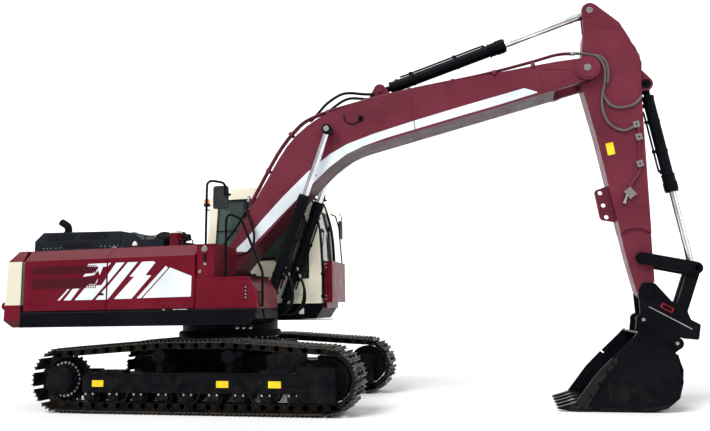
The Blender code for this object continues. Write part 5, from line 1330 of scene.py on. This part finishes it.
def boom_details(fittings):
    """The boom's stripe, steel pipes, clamps, weld seams, bosses and hoses."""
    boom = Workpiece("boom_fittings")
    half = BOOM_HALF
    upper = [(0.36, 2.41), (0.38, 2.58), (0.67, 2.90), (1.02, 3.25), (1.43, 3.62), (1.81, 3.89), (2.09, 4.03),
             (2.51, 4.16), (3.20, 4.33), (4.01, 4.51), (4.86, 4.69)]
    lower = [(0.44, 2.40), (0.66, 2.625), (0.98, 2.93), (1.38, 3.30), (1.80, 3.672), (2.08, 3.86),
             (2.36, 3.972), (2.72, 4.075), (3.14, 4.166), (3.83, 4.322), (4.52, 4.472)]
    for side in (-1, 1):
        y0, y1 = sorted((side * (half - 0.002), side * (half + 0.0022)))
        rings = []
        top = [Vector((a, 0, b)) for a, b in [(0.16, 2.385)] + upper[1:] + [(5.05, 4.612)]]
        low = [Vector((a, 0, b)) for a, b in [(0.40, 2.372)] + lower[1:] + [(5.03, 4.590)]]
        for a, b in zip(top, low):
            inner = b + (a - b).normalized() * 0.012
            rings.append(boom.ring([(inner.x, y0, inner.z), (a.x, y0, a.z), (a.x, y1, a.z),
                                    (inner.x, y1, inner.z)]))
        boom.skin(rings, "white graphic")
    for y in (-half, half):
        side = 1 if y > 0 else -1
        pin_head(boom, BOOM_FOOT, y + side * 0.001, side, 0.05)
        boom.disc((BOOM_ROD_PIN.x, y, BOOM_ROD_PIN.z), (0, side, 0), 0.175, 0.005, "boom and arm burgundy with painted sky reflection", 36)
        tip_ring(boom, BOOM_TIP, y, side)
        seams = [[(2.02, 0.62), (2.05, 1.50)], [(3.74, 0.486), (3.94, 1.036)], [(5.68, 0.03), (5.78, 0.359)],
                 [(5.91, 0.351), (5.87, 0.320), (5.91, 0.286), (6.15, 0.138), (6.19, 0.067), (6.13, 0.018),
                  (5.83, 0.001), (5.80, -0.03), (5.83, -0.064), (6.16, -0.085)]]
        for line in seams:
            boom.tube([on_boom(a, b, y) for a, b in line], 0.007, "boom and arm burgundy with painted sky reflection", 6, 1)
        boom.block(*[sorted(v) for v in ((2.29, 2.35), (y - side * 0.002, y + side * 0.045), (4.39, 4.47))],
                   "black paint", 0.008)
        loop = [(2.87, 1.29), (2.84, 1.19), (2.92, 1.08), (3.02, 1.07), (3.07, 1.10)]
        boom.tube([on_boom(a, b, y + side * 0.012) for a, b in loop], 0.010, "black rubber", 8, 4)
    run = ((0.30, 0.435), (0.85, 0.895), (1.60, 1.390), (2.05, 1.580), (2.35, 1.590), (2.90, 1.470),
           (3.90, 1.220), (5.00, 0.780), (5.90, 0.420))
    for y in (-0.235, -0.165, 0.165, 0.235):
        path = [seat_on_top(on_boom(a, b, y), fittings.pipe) for a, b in run]
        tip_y = math.copysign(0.268 if abs(y) > 0.2 else 0.230, y)
        path = path[(1 if y < 0 else 0):-2] + [seat_on_top(on_boom(5.00, 0.780, tip_y), fittings.pipe),
                                               on_boom(5.72, 0.535, tip_y), on_boom(6.12, 0.430, tip_y),
                                               on_boom(6.33, 0.325, tip_y)]
        boom.tube(path, fittings.pipe / 2, "boom and arm burgundy with painted sky reflection", 12, 4)
    for along in (0.75, 1.35, 1.95, 2.65, 3.25, 3.95, 4.60, 5.20, 5.75):
        for side in (-1, 1):
            y = side * (0.2435 if along > 5 else 0.20)
            base = seat_on_top(on_boom(along, 1.0, y), 0.0)
            ahead = seat_on_top(on_boom(along + 0.06, 1.0, y), 0.0)
            way = (ahead - base).normalized()
            up = Vector((-way.z, 0, way.x))
            clamp_block(boom, base, way, up)
    boom.done("boom_body", "body_red", 0.002, 2)
    hoses = Workpiece("boom_hoses")
    r = fittings.hose / 2
    loops = (((0.400, -0.235, 3.235), (0.395, -0.300, 3.050), (0.500, -0.340, 2.800), (0.545, -0.350, 2.600),
              (0.500, -0.350, 2.410), (0.340, -0.350, 2.320), (0.130, -0.345, 2.320), (-0.080, -0.300, 2.340),
              (-0.190, -0.200, 2.280)),
             ((0.360, -0.165, 3.150), (0.300, -0.180, 3.000), (0.150, -0.200, 2.760), (0.000, -0.220, 2.560),
              (-0.100, -0.200, 2.400), (-0.170, -0.160, 2.200)))
    for line in loops:
        hoses.tube(line, r, "black rubber", 12, 5)
        hoses.lathe(line[0], Vector(line[0]) - Vector(line[1]),
                    [(-0.05, 0.026), (0.05, 0.026), (0.055, 0.02)], "bright steel", 12)
    for y in (-0.09, 0.09):
        start = seat_on_top(on_boom(2.36, 1.0, y * 1.6), fittings.pipe)
        hoses.tube([start, start + Vector((0.10, 0, 0.10)), on_boom(2.72, 1.66, y * 1.7),
                    on_boom(3.02, 1.66, y * 1.6), on_boom(3.30, 1.48, y * 1.5), on_boom(3.44, 1.40, y * 1.2)],
                   r * 1.15, "black rubber", 12, 5)
        hoses.lathe(start - Vector((0.05, 0, 0.03)), (1, 0, 0.7), [(0, 0.028), (0.08, 0.028), (0.086, 0.022)],
                    "bright steel", 12)
    for y in (-0.268, -0.230, 0.230, 0.268):
        hoses.lathe(on_boom(6.30, 0.340, y), on_boom(6.36, 0.305, y) - on_boom(6.30, 0.340, y),
                    [(0, 0.022), (0.08, 0.022), (0.085, 0.018)], "bright steel", 12)
    hoses.done("boom_body", "frame_black", 0)


def seat_on_top(point, size):
    """The place on the boom's top edge below or above a point, raised by half a pipe."""
    edge = [on_boom(-0.084, 0.124), on_boom(0.9, 0.80), on_boom(1.55, 1.24), on_boom(1.95, 1.45),
            on_boom(2.30, 1.520), on_boom(2.75, 1.445), on_boom(3.40, 1.265), on_boom(3.865, 1.120),
            on_boom(4.6, 0.860), on_boom(5.45, 0.540), on_boom(6.075, 0.325), on_boom(6.395, 0.185)]
    along = (point - BOOM_FOOT).dot(on_boom(1, 0) - BOOM_FOOT)
    stations = [(p - BOOM_FOOT).dot(on_boom(1, 0) - BOOM_FOOT) for p in edge]
    for i in range(len(edge) - 1):
        if stations[i] <= along <= stations[i + 1]:
            share = (along - stations[i]) / (stations[i + 1] - stations[i])
            base = edge[i] + (edge[i + 1] - edge[i]) * share
            way = (edge[i + 1] - edge[i]).normalized()
            up = Vector((-way.z, 0, way.x))
            return Vector((base.x, point.y, base.z)) + up * (size / 2 + 0.020 if size else 0.0)
    return point


def clamp_block(piece, base, way, up):
    """A clamp that holds two pipes to the boom's top."""
    across = Vector((0, 1, 0))

    def corner(a, b, c):
        return base + way * a + across * b + up * c
    rings = []
    for c, grow in ((-0.01, 1.0), (0.030, 1.0), (0.048, 0.92), (0.066, 0.70)):
        rings.append(piece.ring([corner(-0.028, -0.070 * grow, c), corner(0.028, -0.070 * grow, c),
                                 corner(0.028, 0.070 * grow, c), corner(-0.028, 0.070 * grow, c)]))
    piece.skin(rings, "boom and arm burgundy with painted sky reflection")
    piece.bolt(base + up * 0.065, up, 0.020, "bright steel")


def tip_ring(piece, pin, y, side):
    """The cast ring, keeper plate and bolts at the boom's tip."""
    out = Vector((0, side, 0))
    at = Vector((pin.x, y + side * 0.015, pin.z))
    piece.lathe(at, out, [(0, 0.180), (0.010, 0.178), (0.012, 0.150), (0.020, 0.148), (0.022, 0.085)],
                "boom and arm burgundy with painted sky reflection", 40)
    piece.bolt_ring(at + out * 0.012, out, 0.118, 6, 0.020, "boom and arm burgundy with painted sky reflection", 0.4)
    piece.disc(at + out * 0.030, out, 0.052, 0.009, "bright steel", 28)


def arm_details(fittings):
    """The arm's pipes, valve, hoses, label and pin heads."""
    arm = Workpiece("arm_fittings")
    half = ARM_HALF
    y = -half
    for pin, reach in ((GUIDE_PIN, 0.285), (ARM_TIP, 0.245), (BUCKET_CYL_BASE, 0.124)):
        for side in (-1, 1):
            arm.disc((pin.x, side * (reach - 0.006), pin.z), (0, side, 0), 0.066 if pin != ARM_TIP else 0.080,
                     0.012, "black paint", 28)
            arm.bolt((pin.x, side * (reach + 0.005), pin.z), (0, side, 0), 0.030, "black casting")
    for side in (-1, 1):
        lug = Vector((ARM_ROD_PIN.x, side * 0.124, ARM_ROD_PIN.z))
        arm.disc(lug, (0, side, 0), 0.115, 0.006, "boom and arm burgundy with painted sky reflection", 32)
        arm.disc(lug + Vector((0, side * 0.005, 0)), (0, side, 0), 0.048, 0.016, "bright steel", 28)
    label = [on_arm(1.16, -0.02), on_arm(1.16, 0.085), on_arm(1.34, 0.075), on_arm(1.34, -0.03)]
    arm.prism([(p.x, p.z) for p in label], "Y", y - 0.003, y + 0.001, "yellow plate")
    long_hose = [(0.293, 0.180, 0.045), (0.526, 0.086, 0.032),
                 (0.746, 0.067, 0.030), (0.925, 0.125, 0.030), (1.039, 0.284, 0.030), (1.000, 0.455, 0.030)]
    short_hose = [(0.430, 0.125, 0.040), (0.602, 0.176, 0.036), (0.687, 0.295, 0.032), (0.692, 0.500, 0.030),
                  (0.600, 0.640, 0.030)]
    for line in (long_hose, short_hose):
        arm.tube([on_arm(a, o, y - lift) for a, o, lift in line], fittings.hose * 0.40, "sheathed hose",
                 12, 5, 0.05)
    pipe = [(1.000, 0.455), (1.060, 0.473), (1.185, 0.443), (1.571, 0.356), (1.694, 0.315), (1.842, 0.166),
            (1.900, 0.130)]
    arm.tube([on_arm(a, o, y - 0.024) for a, o in pipe], 0.019, "boom and arm burgundy with painted sky reflection", 12, 3)
    for a, o in ((0.995, 0.455), (1.185, 0.443), (1.571, 0.356)):
        block_on_arm(arm, a - 0.045, a + 0.045, o - 0.042, o + 0.042, y, 0.052, "bright steel")
        arm.bolt(on_arm(a, o, y - 0.052), (0, -1, 0), 0.016, "black casting")
    valve = [on_arm(1.87, 0.140), on_arm(1.92, 0.040), on_arm(2.04, 0.100), on_arm(1.99, 0.200)]
    arm.prism([(p.x, p.z) for p in valve], "Y", y - 0.060, y + 0.002, "bright steel")
    arm.lathe(on_arm(1.97, 0.075, y - 0.030), on_arm(2.09, 0.0) - on_arm(1.97, 0.075),
              [(0, 0.020), (0.10, 0.020), (0.102, 0.026), (0.135, 0.026)], "bright steel", 12)
    seams = [[(0.989, -0.088), (0.710, 0.579)], [(1.010, -0.055), (0.760, 0.560)],
             [(2.093, -0.115), (2.157, 0.290)],
             [(-0.390, 0.115), (-0.640, 0.440), (-0.600, 0.540), (-0.018, 0.770), (0.685, 0.600)]]
    for line in seams:
        for side in (-1, 1):
            arm.tube([on_arm(a, o, side * (half + 0.001)) for a, o in line], 0.005,
                     "boom and arm burgundy with painted sky reflection", 6, 1)
    arm.done("arm_body", "body_red", 0.0025, 2)
    bends = Workpiece("arm_pivot_hoses")
    for side in (-1, 1):
        for k, tip_y in enumerate((0.268, 0.230)):
            shift = 0.045 * k
            path = [on_boom(6.36, 0.308, side * tip_y), on_arm(-0.200, 0.095, side * 0.268),
                    on_arm(-0.100, 0.205 + shift, side * 0.278), on_arm(0.088, 0.237 + shift, side * 0.268),
                    on_arm(0.293, 0.180 + shift, side * 0.245)]
            bends.tube(path, fittings.hose * 0.40, "sheathed hose", 12, 5, 0.05)
    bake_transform(bends.done(None, "body_red", 0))


def block_on_arm(piece, a0, a1, o0, o1, y, thick, finish):
    """A block on the arm's right face."""
    corners = [on_arm(a0, o0), on_arm(a1, o0), on_arm(a1, o1), on_arm(a0, o1)]
    piece.prism([(p.x, p.z) for p in corners], "Y", y - thick, y + 0.002, finish)


def cylinder_details(name, body, base, tip, y, radius, gland, ports):
    """The collar, bolts, seals, clamps, ports and feed pipe of a barrel."""
    piece = Workpiece(name)
    way = (tip - base).normalized()
    start = Vector((base.x, y, base.z))

    def turned_ring(along, profile, finish="black paint", sides=32):
        bore = radius * 0.70
        hollow = [(profile[0][0], bore), *profile, (profile[-1][0], bore), (profile[0][0], bore)]
        piece.lathe(start + way * along, way, hollow, finish, sides, caps=False)
    turned_ring(gland - 0.249, [(0, radius), (0.006, radius * 1.16), (0.030, radius * 1.18),
                                (0.036, radius * 1.06), (0.120, radius * 1.06), (0.126, radius * 1.20),
                                (0.236, radius * 1.20), (0.244, radius * 1.10)])
    turned_ring(gland - 0.024, [(0, radius * 0.95), (0.014, radius * 0.92), (0.022, radius * 0.72)],
                "black rubber")
    bolts = way.to_track_quat("Z", "Y").to_matrix()
    for i in range(10):
        angle = 2 * math.pi * i / 10
        at = start + way * (gland - 0.028) + bolts @ Vector((radius * 1.02 * math.cos(angle),
                                                             radius * 1.02 * math.sin(angle), 0))
        piece.bolt(at, way, 0.017, "black paint")
    turned_ring(0.165, [(0, radius * 0.9), (0.008, radius * 1.06), (0.05, radius * 1.06),
                        (0.058, radius * 0.99)])
    side_way = {"up": Vector((-way.z, 0, way.x)), "down": Vector((way.z, 0, -way.x))}[ports]
    run = radius + 0.026
    for along in (0.30, gland - 0.30):
        piece.lathe(start + way * along + side_way * (radius * 0.7), side_way,
                    [(0, 0.036), (0.035, 0.034), (0.042, 0.026)], "black paint", 16)
    feed = [start + way * (gland - 0.30) + side_way * (run - 0.005),
            start + way * (gland - 0.36) + side_way * run,
            start + way * (gland * 0.55) + side_way * run, start + way * 0.46 + side_way * run,
            start + way * 0.38 + side_way * (run + 0.01)]
    piece.tube(feed, 0.015, "black pipe", 10, 3)
    for along in (0.55, gland * 0.62):
        turned_ring(along, [(0, radius * 1.03), (0.004, radius * 1.05), (0.036, radius * 1.05),
                            (0.040, radius * 1.03)], "black casting")
        piece.lathe(start + way * along + side_way * radius, side_way,
                    [(0, 0.026), (0.045, 0.024), (0.050, 0.018)], "black casting", 8)
    piece.done(body, "frame_black", 0.0018, 1)


class EXCAVATOR_OT_boom(bpy.types.Operator):
    """Make the boom's stripe, pipes, clamps and hoses"""

    bl_idname = "excavator.boom"
    bl_label = "Boom fittings"

    def execute(self, context):
        boom_details(context.scene.excavator_fittings)
        return {"FINISHED"}


class EXCAVATOR_OT_arm(bpy.types.Operator):
    """Make the arm's pipes, valve, hoses and pins"""

    bl_idname = "excavator.arm"
    bl_label = "Arm fittings"

    def execute(self, context):
        arm_details(context.scene.excavator_fittings)
        return {"FINISHED"}


class EXCAVATOR_OT_cylinders(bpy.types.Operator):
    """Make the collars, ports, pipes and hoses of the four cylinders"""

    bl_idname = "excavator.cylinders"
    bl_label = "Cylinder fittings"

    def execute(self, context):
        fittings = context.scene.excavator_fittings
        for side, name in ((1, "left"), (-1, "right")):
            cylinder_details("boom_cylinder_fittings_" + name, "lift_barrels", BOOM_CYL_BASE, BOOM_ROD_PIN,
                             side * BOOM_CYL_Y, 0.084, 1.87, "down")
        cylinder_details("arm_cylinder_fittings", "arm_barrel", ARM_CYL_BASE, ARM_ROD_PIN, 0,
                         0.094, 2.07, "up")
        cylinder_details("bucket_cylinder_fittings", "bucket_barrel", BUCKET_CYL_BASE, LINK_PIN, 0,
                         0.082, 1.62, "down")
        pins = Workpiece("lift_rod_pins")
        for side in (-1, 1):
            y = side * 0.479
            pins.disc((BOOM_ROD_PIN.x, y - side * 0.004, BOOM_ROD_PIN.z), (0, side, 0), 0.078, 0.012,
                      "black paint", 28)
            pins.disc((BOOM_ROD_PIN.x, y + side * 0.006, BOOM_ROD_PIN.z), (0, side, 0), 0.045, 0.010,
                      "bright steel", 24)
            pins.lathe((BOOM_ROD_PIN.x, side * 0.338, BOOM_ROD_PIN.z), (0, side, 0),
                       [(0, 0.080), (0.004, 0.084), (0.104, 0.084), (0.108, 0.080)], "black paint", 32)
        pins.done("lift_rods", "frame_black", 0.002, 2)
        feet = Workpiece("boom_cylinder_hoses")
        r = fittings.hose * 0.45
        for side in (-1, 1):
            for k in (0, 1):
                y = side * (BOOM_CYL_Y - 0.10 + 0.03 * k)
                feet.tube([(1.10 - 0.05 * k, y, 1.98 + 0.12 * k), (1.17, y, 1.78), (1.13 + 0.03 * k, y, 1.52),
                           (0.98, y * 0.97, 1.36), (0.80, y * 0.92, 1.36)], r, "black rubber", 12, 5)
                feet.lathe((1.10 - 0.05 * k, y, 1.95 + 0.12 * k), (0, 0, 1),
                           [(0, 0.024), (0.06, 0.024), (0.066, 0.018)], "bright steel", 12)
        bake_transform(feet.done(None, "frame_black", 0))
        return {"FINISHED"}


# ---------------------------------------------------------------- coupler and bucket
def bucket_details():
    """The bucket's teeth, adapters, wear plates, ribs and the coupler's lock."""
    bucket = Workpiece("bucket_fittings")
    half = BUCKET_HALF
    reach = 2 * half / 4 * 0.93
    for i in range(5):
        y = (i - 2) * reach
        tooth = []
        for x, low, high, w in ((5.36, 0.006, 0.128, 0.058), (5.27, 0.005, 0.122, 0.058),
                                (5.22, 0.010, 0.102, 0.050), (5.12, 0.026, 0.070, 0.046),
                                (5.060, 0.034, 0.050, 0.040)):
            tooth.append(bucket.ring([(x, y - w, low), (x, y + w, low), (x, y + w, high), (x, y - w, high)]))
        bucket.skin(tooth, "worn teeth")
        adapter = [(5.50, 0.036), (5.34, 0.004), (5.30, 0.008), (5.30, 0.132), (5.36, 0.135), (5.52, 0.078)]
        bucket.prism(adapter, "Y", y - 0.066, y + 0.066, "black casting")
        bucket.disc((5.325, y - 0.0675, 0.070), (0, -1, 0), 0.020, 0.008, "worn teeth", 16)
        bucket.disc((5.325, y + 0.0675, 0.070), (0, 1, 0), 0.020, 0.008, "worn teeth", 16)
    for i in range(4):
        y = (i - 1.5) * reach
        bucket.prism([(5.352, 0.004), (5.346, 0.028), (5.46, 0.040), (5.60, 0.006), (5.60, 0.003)], "Y",
                     y - 0.07, y + 0.07, "worn teeth")
    for side in (-1, 1):
        y = side * half
        near = sorted((y - side * 0.002, y + side * 0.010))
        rim = [(5.60, 0.006), (6.20, 0.006), (6.44, 0.055), (6.60, 0.190), (6.66, 0.400), (6.655, 0.520),
               (6.610, 0.520), (6.615, 0.410), (6.560, 0.220), (6.420, 0.100), (6.19, 0.055), (5.60, 0.055)]
        bucket.prism(rim, "Y", *near, "black casting")
        lip = [(5.86, 0.70), (6.20, 1.035), (6.17, 1.065), (5.82, 0.735)]
        bucket.prism(lip, "Y", *near, "black casting")
        cutter = [(5.42, 0.05), (5.30, 0.115), (5.595, 0.500), (5.81, 0.710), (5.86, 0.665), (5.66, 0.440)]
        bucket.prism(cutter, "Y", *sorted((y + side * 0.020, y + side * 0.032)), "worn teeth")
        for x, z in ((5.48, 0.22), (5.60, 0.375), (5.72, 0.535), (5.80, 0.64)):
            bucket.bolt((x, y + side * 0.031, z), (0, side, 0), 0.034, "black casting")
        plate = rounded_box((5.72, 0.13), (6.30, 0.40), 0.05)
        bucket.prism(plate, "Y", *sorted((y - side * 0.002, y + side * 0.006)), "black casting")
        bucket.disc((6.06, y, 0.66), (0, side, 0), 0.030, 0.008, "black casting", 20)
    for y in (-0.48, -0.16, 0.16, 0.48):
        path = [(5.60, 0.0035), (6.24, 0.0035), (6.42, 0.040), (6.56, 0.150), (6.645, 0.300), (6.678, 0.440),
                (6.690, 0.540), (6.662, 0.640), (6.640, 0.740)]
        ribs = []
        for k, (x, z) in enumerate(path):
            lift = 0.0 if k < 2 else 0.012
            dx, dz = (0, 1) if k < 2 else ((x - 6.24) / 0.45, (z - 0.44) / 0.45 if k < 7 else 0.2)
            size = math.hypot(dx, dz) or 1
            inner = (x - dx / size * 0.01, z - (dz / size * 0.01 if k > 1 else -0.012))
            outer = (x + dx / size * lift, z + dz / size * lift)
            ribs.append(bucket.ring([(inner[0], y - 0.045, inner[1]), (inner[0], y + 0.045, inner[1]),
                                     (outer[0], y + 0.045, outer[1]), (outer[0], y - 0.045, outer[1])]))
        bucket.skin(ribs, "black casting")
    for side in (-1, 1):
        for pin in (BUCKET_PIN_FRONT, BUCKET_PIN_REAR):
            bucket.disc((pin.x, side * 0.289, pin.z), (0, side, 0), 0.070, 0.012, "black paint", 28)
            bucket.bolt((pin.x, side * 0.300, pin.z), (0, side, 0), 0.030, "bright steel")
            bucket.lathe((pin.x, side * 0.268, pin.z), (0, side, 0),
                         [(0, 0.084), (0.004, 0.088), (0.016, 0.088), (0.020, 0.082)], "black casting", 32)
    bucket.done("bucket_body", "frame_black", 0.003, 2)
    coupler = Workpiece("coupler_fittings")
    for side in (-1, 1):
        y = side * 0.2155
        along, across = Vector((0.86, 0, -0.51)), Vector((0.51, 0, 0.86))
        middle = ARM_TIP + Vector((0.235, 0, -0.235))
        for size, tall, thick, finish in ((1.0, 1.0, 0.0015, "red housing"),
                                          (0.80, 0.72, 0.0025, "black paint")):
            badge = [middle + along * (0.085 * a * size) + across * (0.036 * b * tall)
                     for a, b in ((-1, -1), (1, -1), (1, 1), (-1, 1))]
            coupler.prism([(p.x, p.z) for p in badge], "Y",
                          *sorted((y - side * 0.001, y + side * thick)), finish)
        bar = ARM_TIP + Vector((0.0, 0, -0.215))
        coupler.lathe((bar.x, y - side * 0.010, bar.z), along, [(0, 0.0115), (0.62, 0.0115)],
                      "bright steel", 14)
        coupler.lathe((COUPLER_PIN.x, side * 0.2165, COUPLER_PIN.z), (0, side, 0),
                      [(0, 0.062), (0.0035, 0.060)], "black casting", 28)
    coupler.lathe((ARM_TIP.x + 0.53, -0.08, ARM_TIP.z - 0.58), (0, 1, 0), [(0, 0.045), (0.16, 0.045)],
                  "black casting", 24)
    coupler.done("bucket_body", "frame_black", 0.002, 2)
    links = Workpiece("guide_link_fittings")
    for side in (-1, 1):
        y = side * 0.266
        links.disc((LINK_PIN.x, y, LINK_PIN.z), (0, side, 0), 0.062, 0.014, "black casting", 28)
        links.disc((LINK_PIN.x, y + side * 0.010, LINK_PIN.z), (0, side, 0), 0.040, 0.020,
                   "black casting", 24)
        for pin in (LINK_PIN, GUIDE_PIN):
            links.lathe((pin.x, y - side * 0.002, pin.z), (0, side, 0),
                        [(0, 0.080), (0.006, 0.080), (0.010, 0.068)], "black casting", 32)
    links.done("guide_links", "cast_iron", 0.003, 2)


class EXCAVATOR_OT_bucket(bpy.types.Operator):
    """Make the bucket's teeth and plates, the coupler's fixings and the link ends"""

    bl_idname = "excavator.bucket"
    bl_label = "Bucket and coupler fittings"

    def execute(self, context):
        bucket_details()
        return {"FINISHED"}


# ---------------------------------------------------------------- studio
class EXCAVATOR_OT_studio(bpy.types.Operator):
    """Set up the floor, the soft lights and the camera"""

    bl_idname = "excavator.studio"
    bl_label = "Studio"

    def execute(self, context):
        studio = context.scene.excavator_studio
        scene = context.scene
        ground = bmesh.new()
        rows = []
        for x in (-60, 60):
            row = [ground.verts.new((x, -60, 0.0)), ground.verts.new((x, 26, 0.0))]
            for i in range(1, 13):
                angle = math.pi / 2 * i / 12
                row.append(ground.verts.new((x, 26 + 14 * math.sin(angle), 14 - 14 * math.cos(angle))))
            row.append(ground.verts.new((x, 40, 60)))
            rows.append(row)
        for i in range(len(rows[0]) - 1):
            ground.faces.new((rows[0][i], rows[1][i], rows[1][i + 1], rows[0][i + 1]))
        data = bpy.data.meshes.new("studio_floor")
        ground.to_mesh(data)
        ground.free()
        for face in data.polygons:
            face.use_smooth = True
        floor = bpy.data.objects.new("studio_floor", data)
        scene.collection.objects.link(floor)
        pale, surface = shader("pale floor", (0.93, 0.93, 0.935), 0.75)
        tone = ranged(pale, cloud(pale, 0.4, 3), 0.3, 0.7, 0.0, 1.0)
        join(pale, blended(pale, tone, (0.90, 0.90, 0.905), (0.94, 0.94, 0.945)),
             surface.inputs["Base Color"])
        data.materials.append(pale)
        world = bpy.data.worlds.new("even light")
        world.use_nodes = True
        world.node_tree.nodes["Background"].inputs["Color"].default_value = (0.96, 0.98, 1.0, 1)
        world.node_tree.nodes["Background"].inputs["Strength"].default_value = studio.sky
        scene.world = world
        for name, spot, spread, power in (
                ("key", (-5.0, -9.0, 11.0), 35, studio.key),
                ("fill", (9.0, -7.0, 5.0), 50, studio.key * 0.30),
                ("rim", (3.0, 10.0, 8.0), 40, studio.key * 0.30)):
            light_data = bpy.data.lights.new(name, "SUN")
            light_data.angle = math.radians(spread)
            light_data.energy = power
            light = bpy.data.objects.new(name, light_data)
            light.location = spot
            light.rotation_mode = "QUATERNION"
            light.rotation_quaternion = (-Vector(spot)).to_track_quat("-Z", "Y")
            scene.collection.objects.link(light)
        scene.view_settings.view_transform = "Standard"
        camera_data = bpy.data.cameras.new("camera")
        camera_data.lens = studio.lens
        camera_data.sensor_width = 36
        camera = bpy.data.objects.new("camera", camera_data)
        yaw, pitch, roll = (math.radians(angle) for angle in CAMERA_TURN)
        ahead = Vector((-math.sin(yaw) * math.cos(pitch), math.cos(yaw) * math.cos(pitch), math.sin(pitch)))
        right = Vector((math.cos(yaw), math.sin(yaw), 0))
        up = right.cross(ahead)
        across = right * math.cos(roll) + up * math.sin(roll)
        above = up * math.cos(roll) - right * math.sin(roll)
        camera.matrix_world = Matrix((across, above, -ahead)).transposed().to_4x4()
        camera.location = (CAMERA_PLACE[0] + SLEW_X, *CAMERA_PLACE[1:])
        scene.collection.objects.link(camera)
        scene.camera = camera
        return {"FINISHED"}


# ---------------------------------------------------------------- panel and start
STEPS = ("finish_frame", "tracks", "running_gear", "house", "cab", "boom", "arm", "cylinders", "bucket",
         "studio")


class EXCAVATOR_PT_steps(bpy.types.Panel):
    """The excavator's steps and settings"""

    bl_idname = "EXCAVATOR_PT_steps"
    bl_label = "Crawler excavator"
    bl_space_type = "VIEW_3D"
    bl_region_type = "UI"
    bl_category = "Excavator"

    def draw(self, context):
        layout = self.layout
        for settings, names in ((context.scene.excavator_paint, ("body", "cab", "chassis", "shoes")),
                                (context.scene.excavator_tracks, ("pitch", "width", "grouser")),
                                (context.scene.excavator_fittings, ("hose", "pipe", "bolt")),
                                (context.scene.excavator_studio, ("lens", "key", "sky"))):
            box = layout.box()
            for name in names:
                box.prop(settings, name)
        for step in STEPS:
            layout.operator("excavator." + step)


CLASSES = (ExcavatorPaint, ExcavatorTracks, ExcavatorFittings, ExcavatorStudio, EXCAVATOR_OT_finish_frame,
           EXCAVATOR_OT_tracks, EXCAVATOR_OT_running_gear, EXCAVATOR_OT_house, EXCAVATOR_OT_cab,
           EXCAVATOR_OT_boom, EXCAVATOR_OT_arm, EXCAVATOR_OT_cylinders, EXCAVATOR_OT_bucket,
           EXCAVATOR_OT_studio, EXCAVATOR_PT_steps)


def register():
    for item in CLASSES:
        bpy.utils.register_class(item)
    bpy.types.Scene.excavator_paint = bpy.props.PointerProperty(type=ExcavatorPaint)
    bpy.types.Scene.excavator_tracks = bpy.props.PointerProperty(type=ExcavatorTracks)
    bpy.types.Scene.excavator_fittings = bpy.props.PointerProperty(type=ExcavatorFittings)
    bpy.types.Scene.excavator_studio = bpy.props.PointerProperty(type=ExcavatorStudio)


def unregister():
    for name in ("excavator_paint", "excavator_tracks", "excavator_fittings", "excavator_studio"):
        delattr(bpy.types.Scene, name)
    for item in reversed(CLASSES):
        bpy.utils.unregister_class(item)


def main():
    register()
    for step in STEPS:
        getattr(bpy.ops.excavator, step)()


if __name__ == "__main__":
    main()
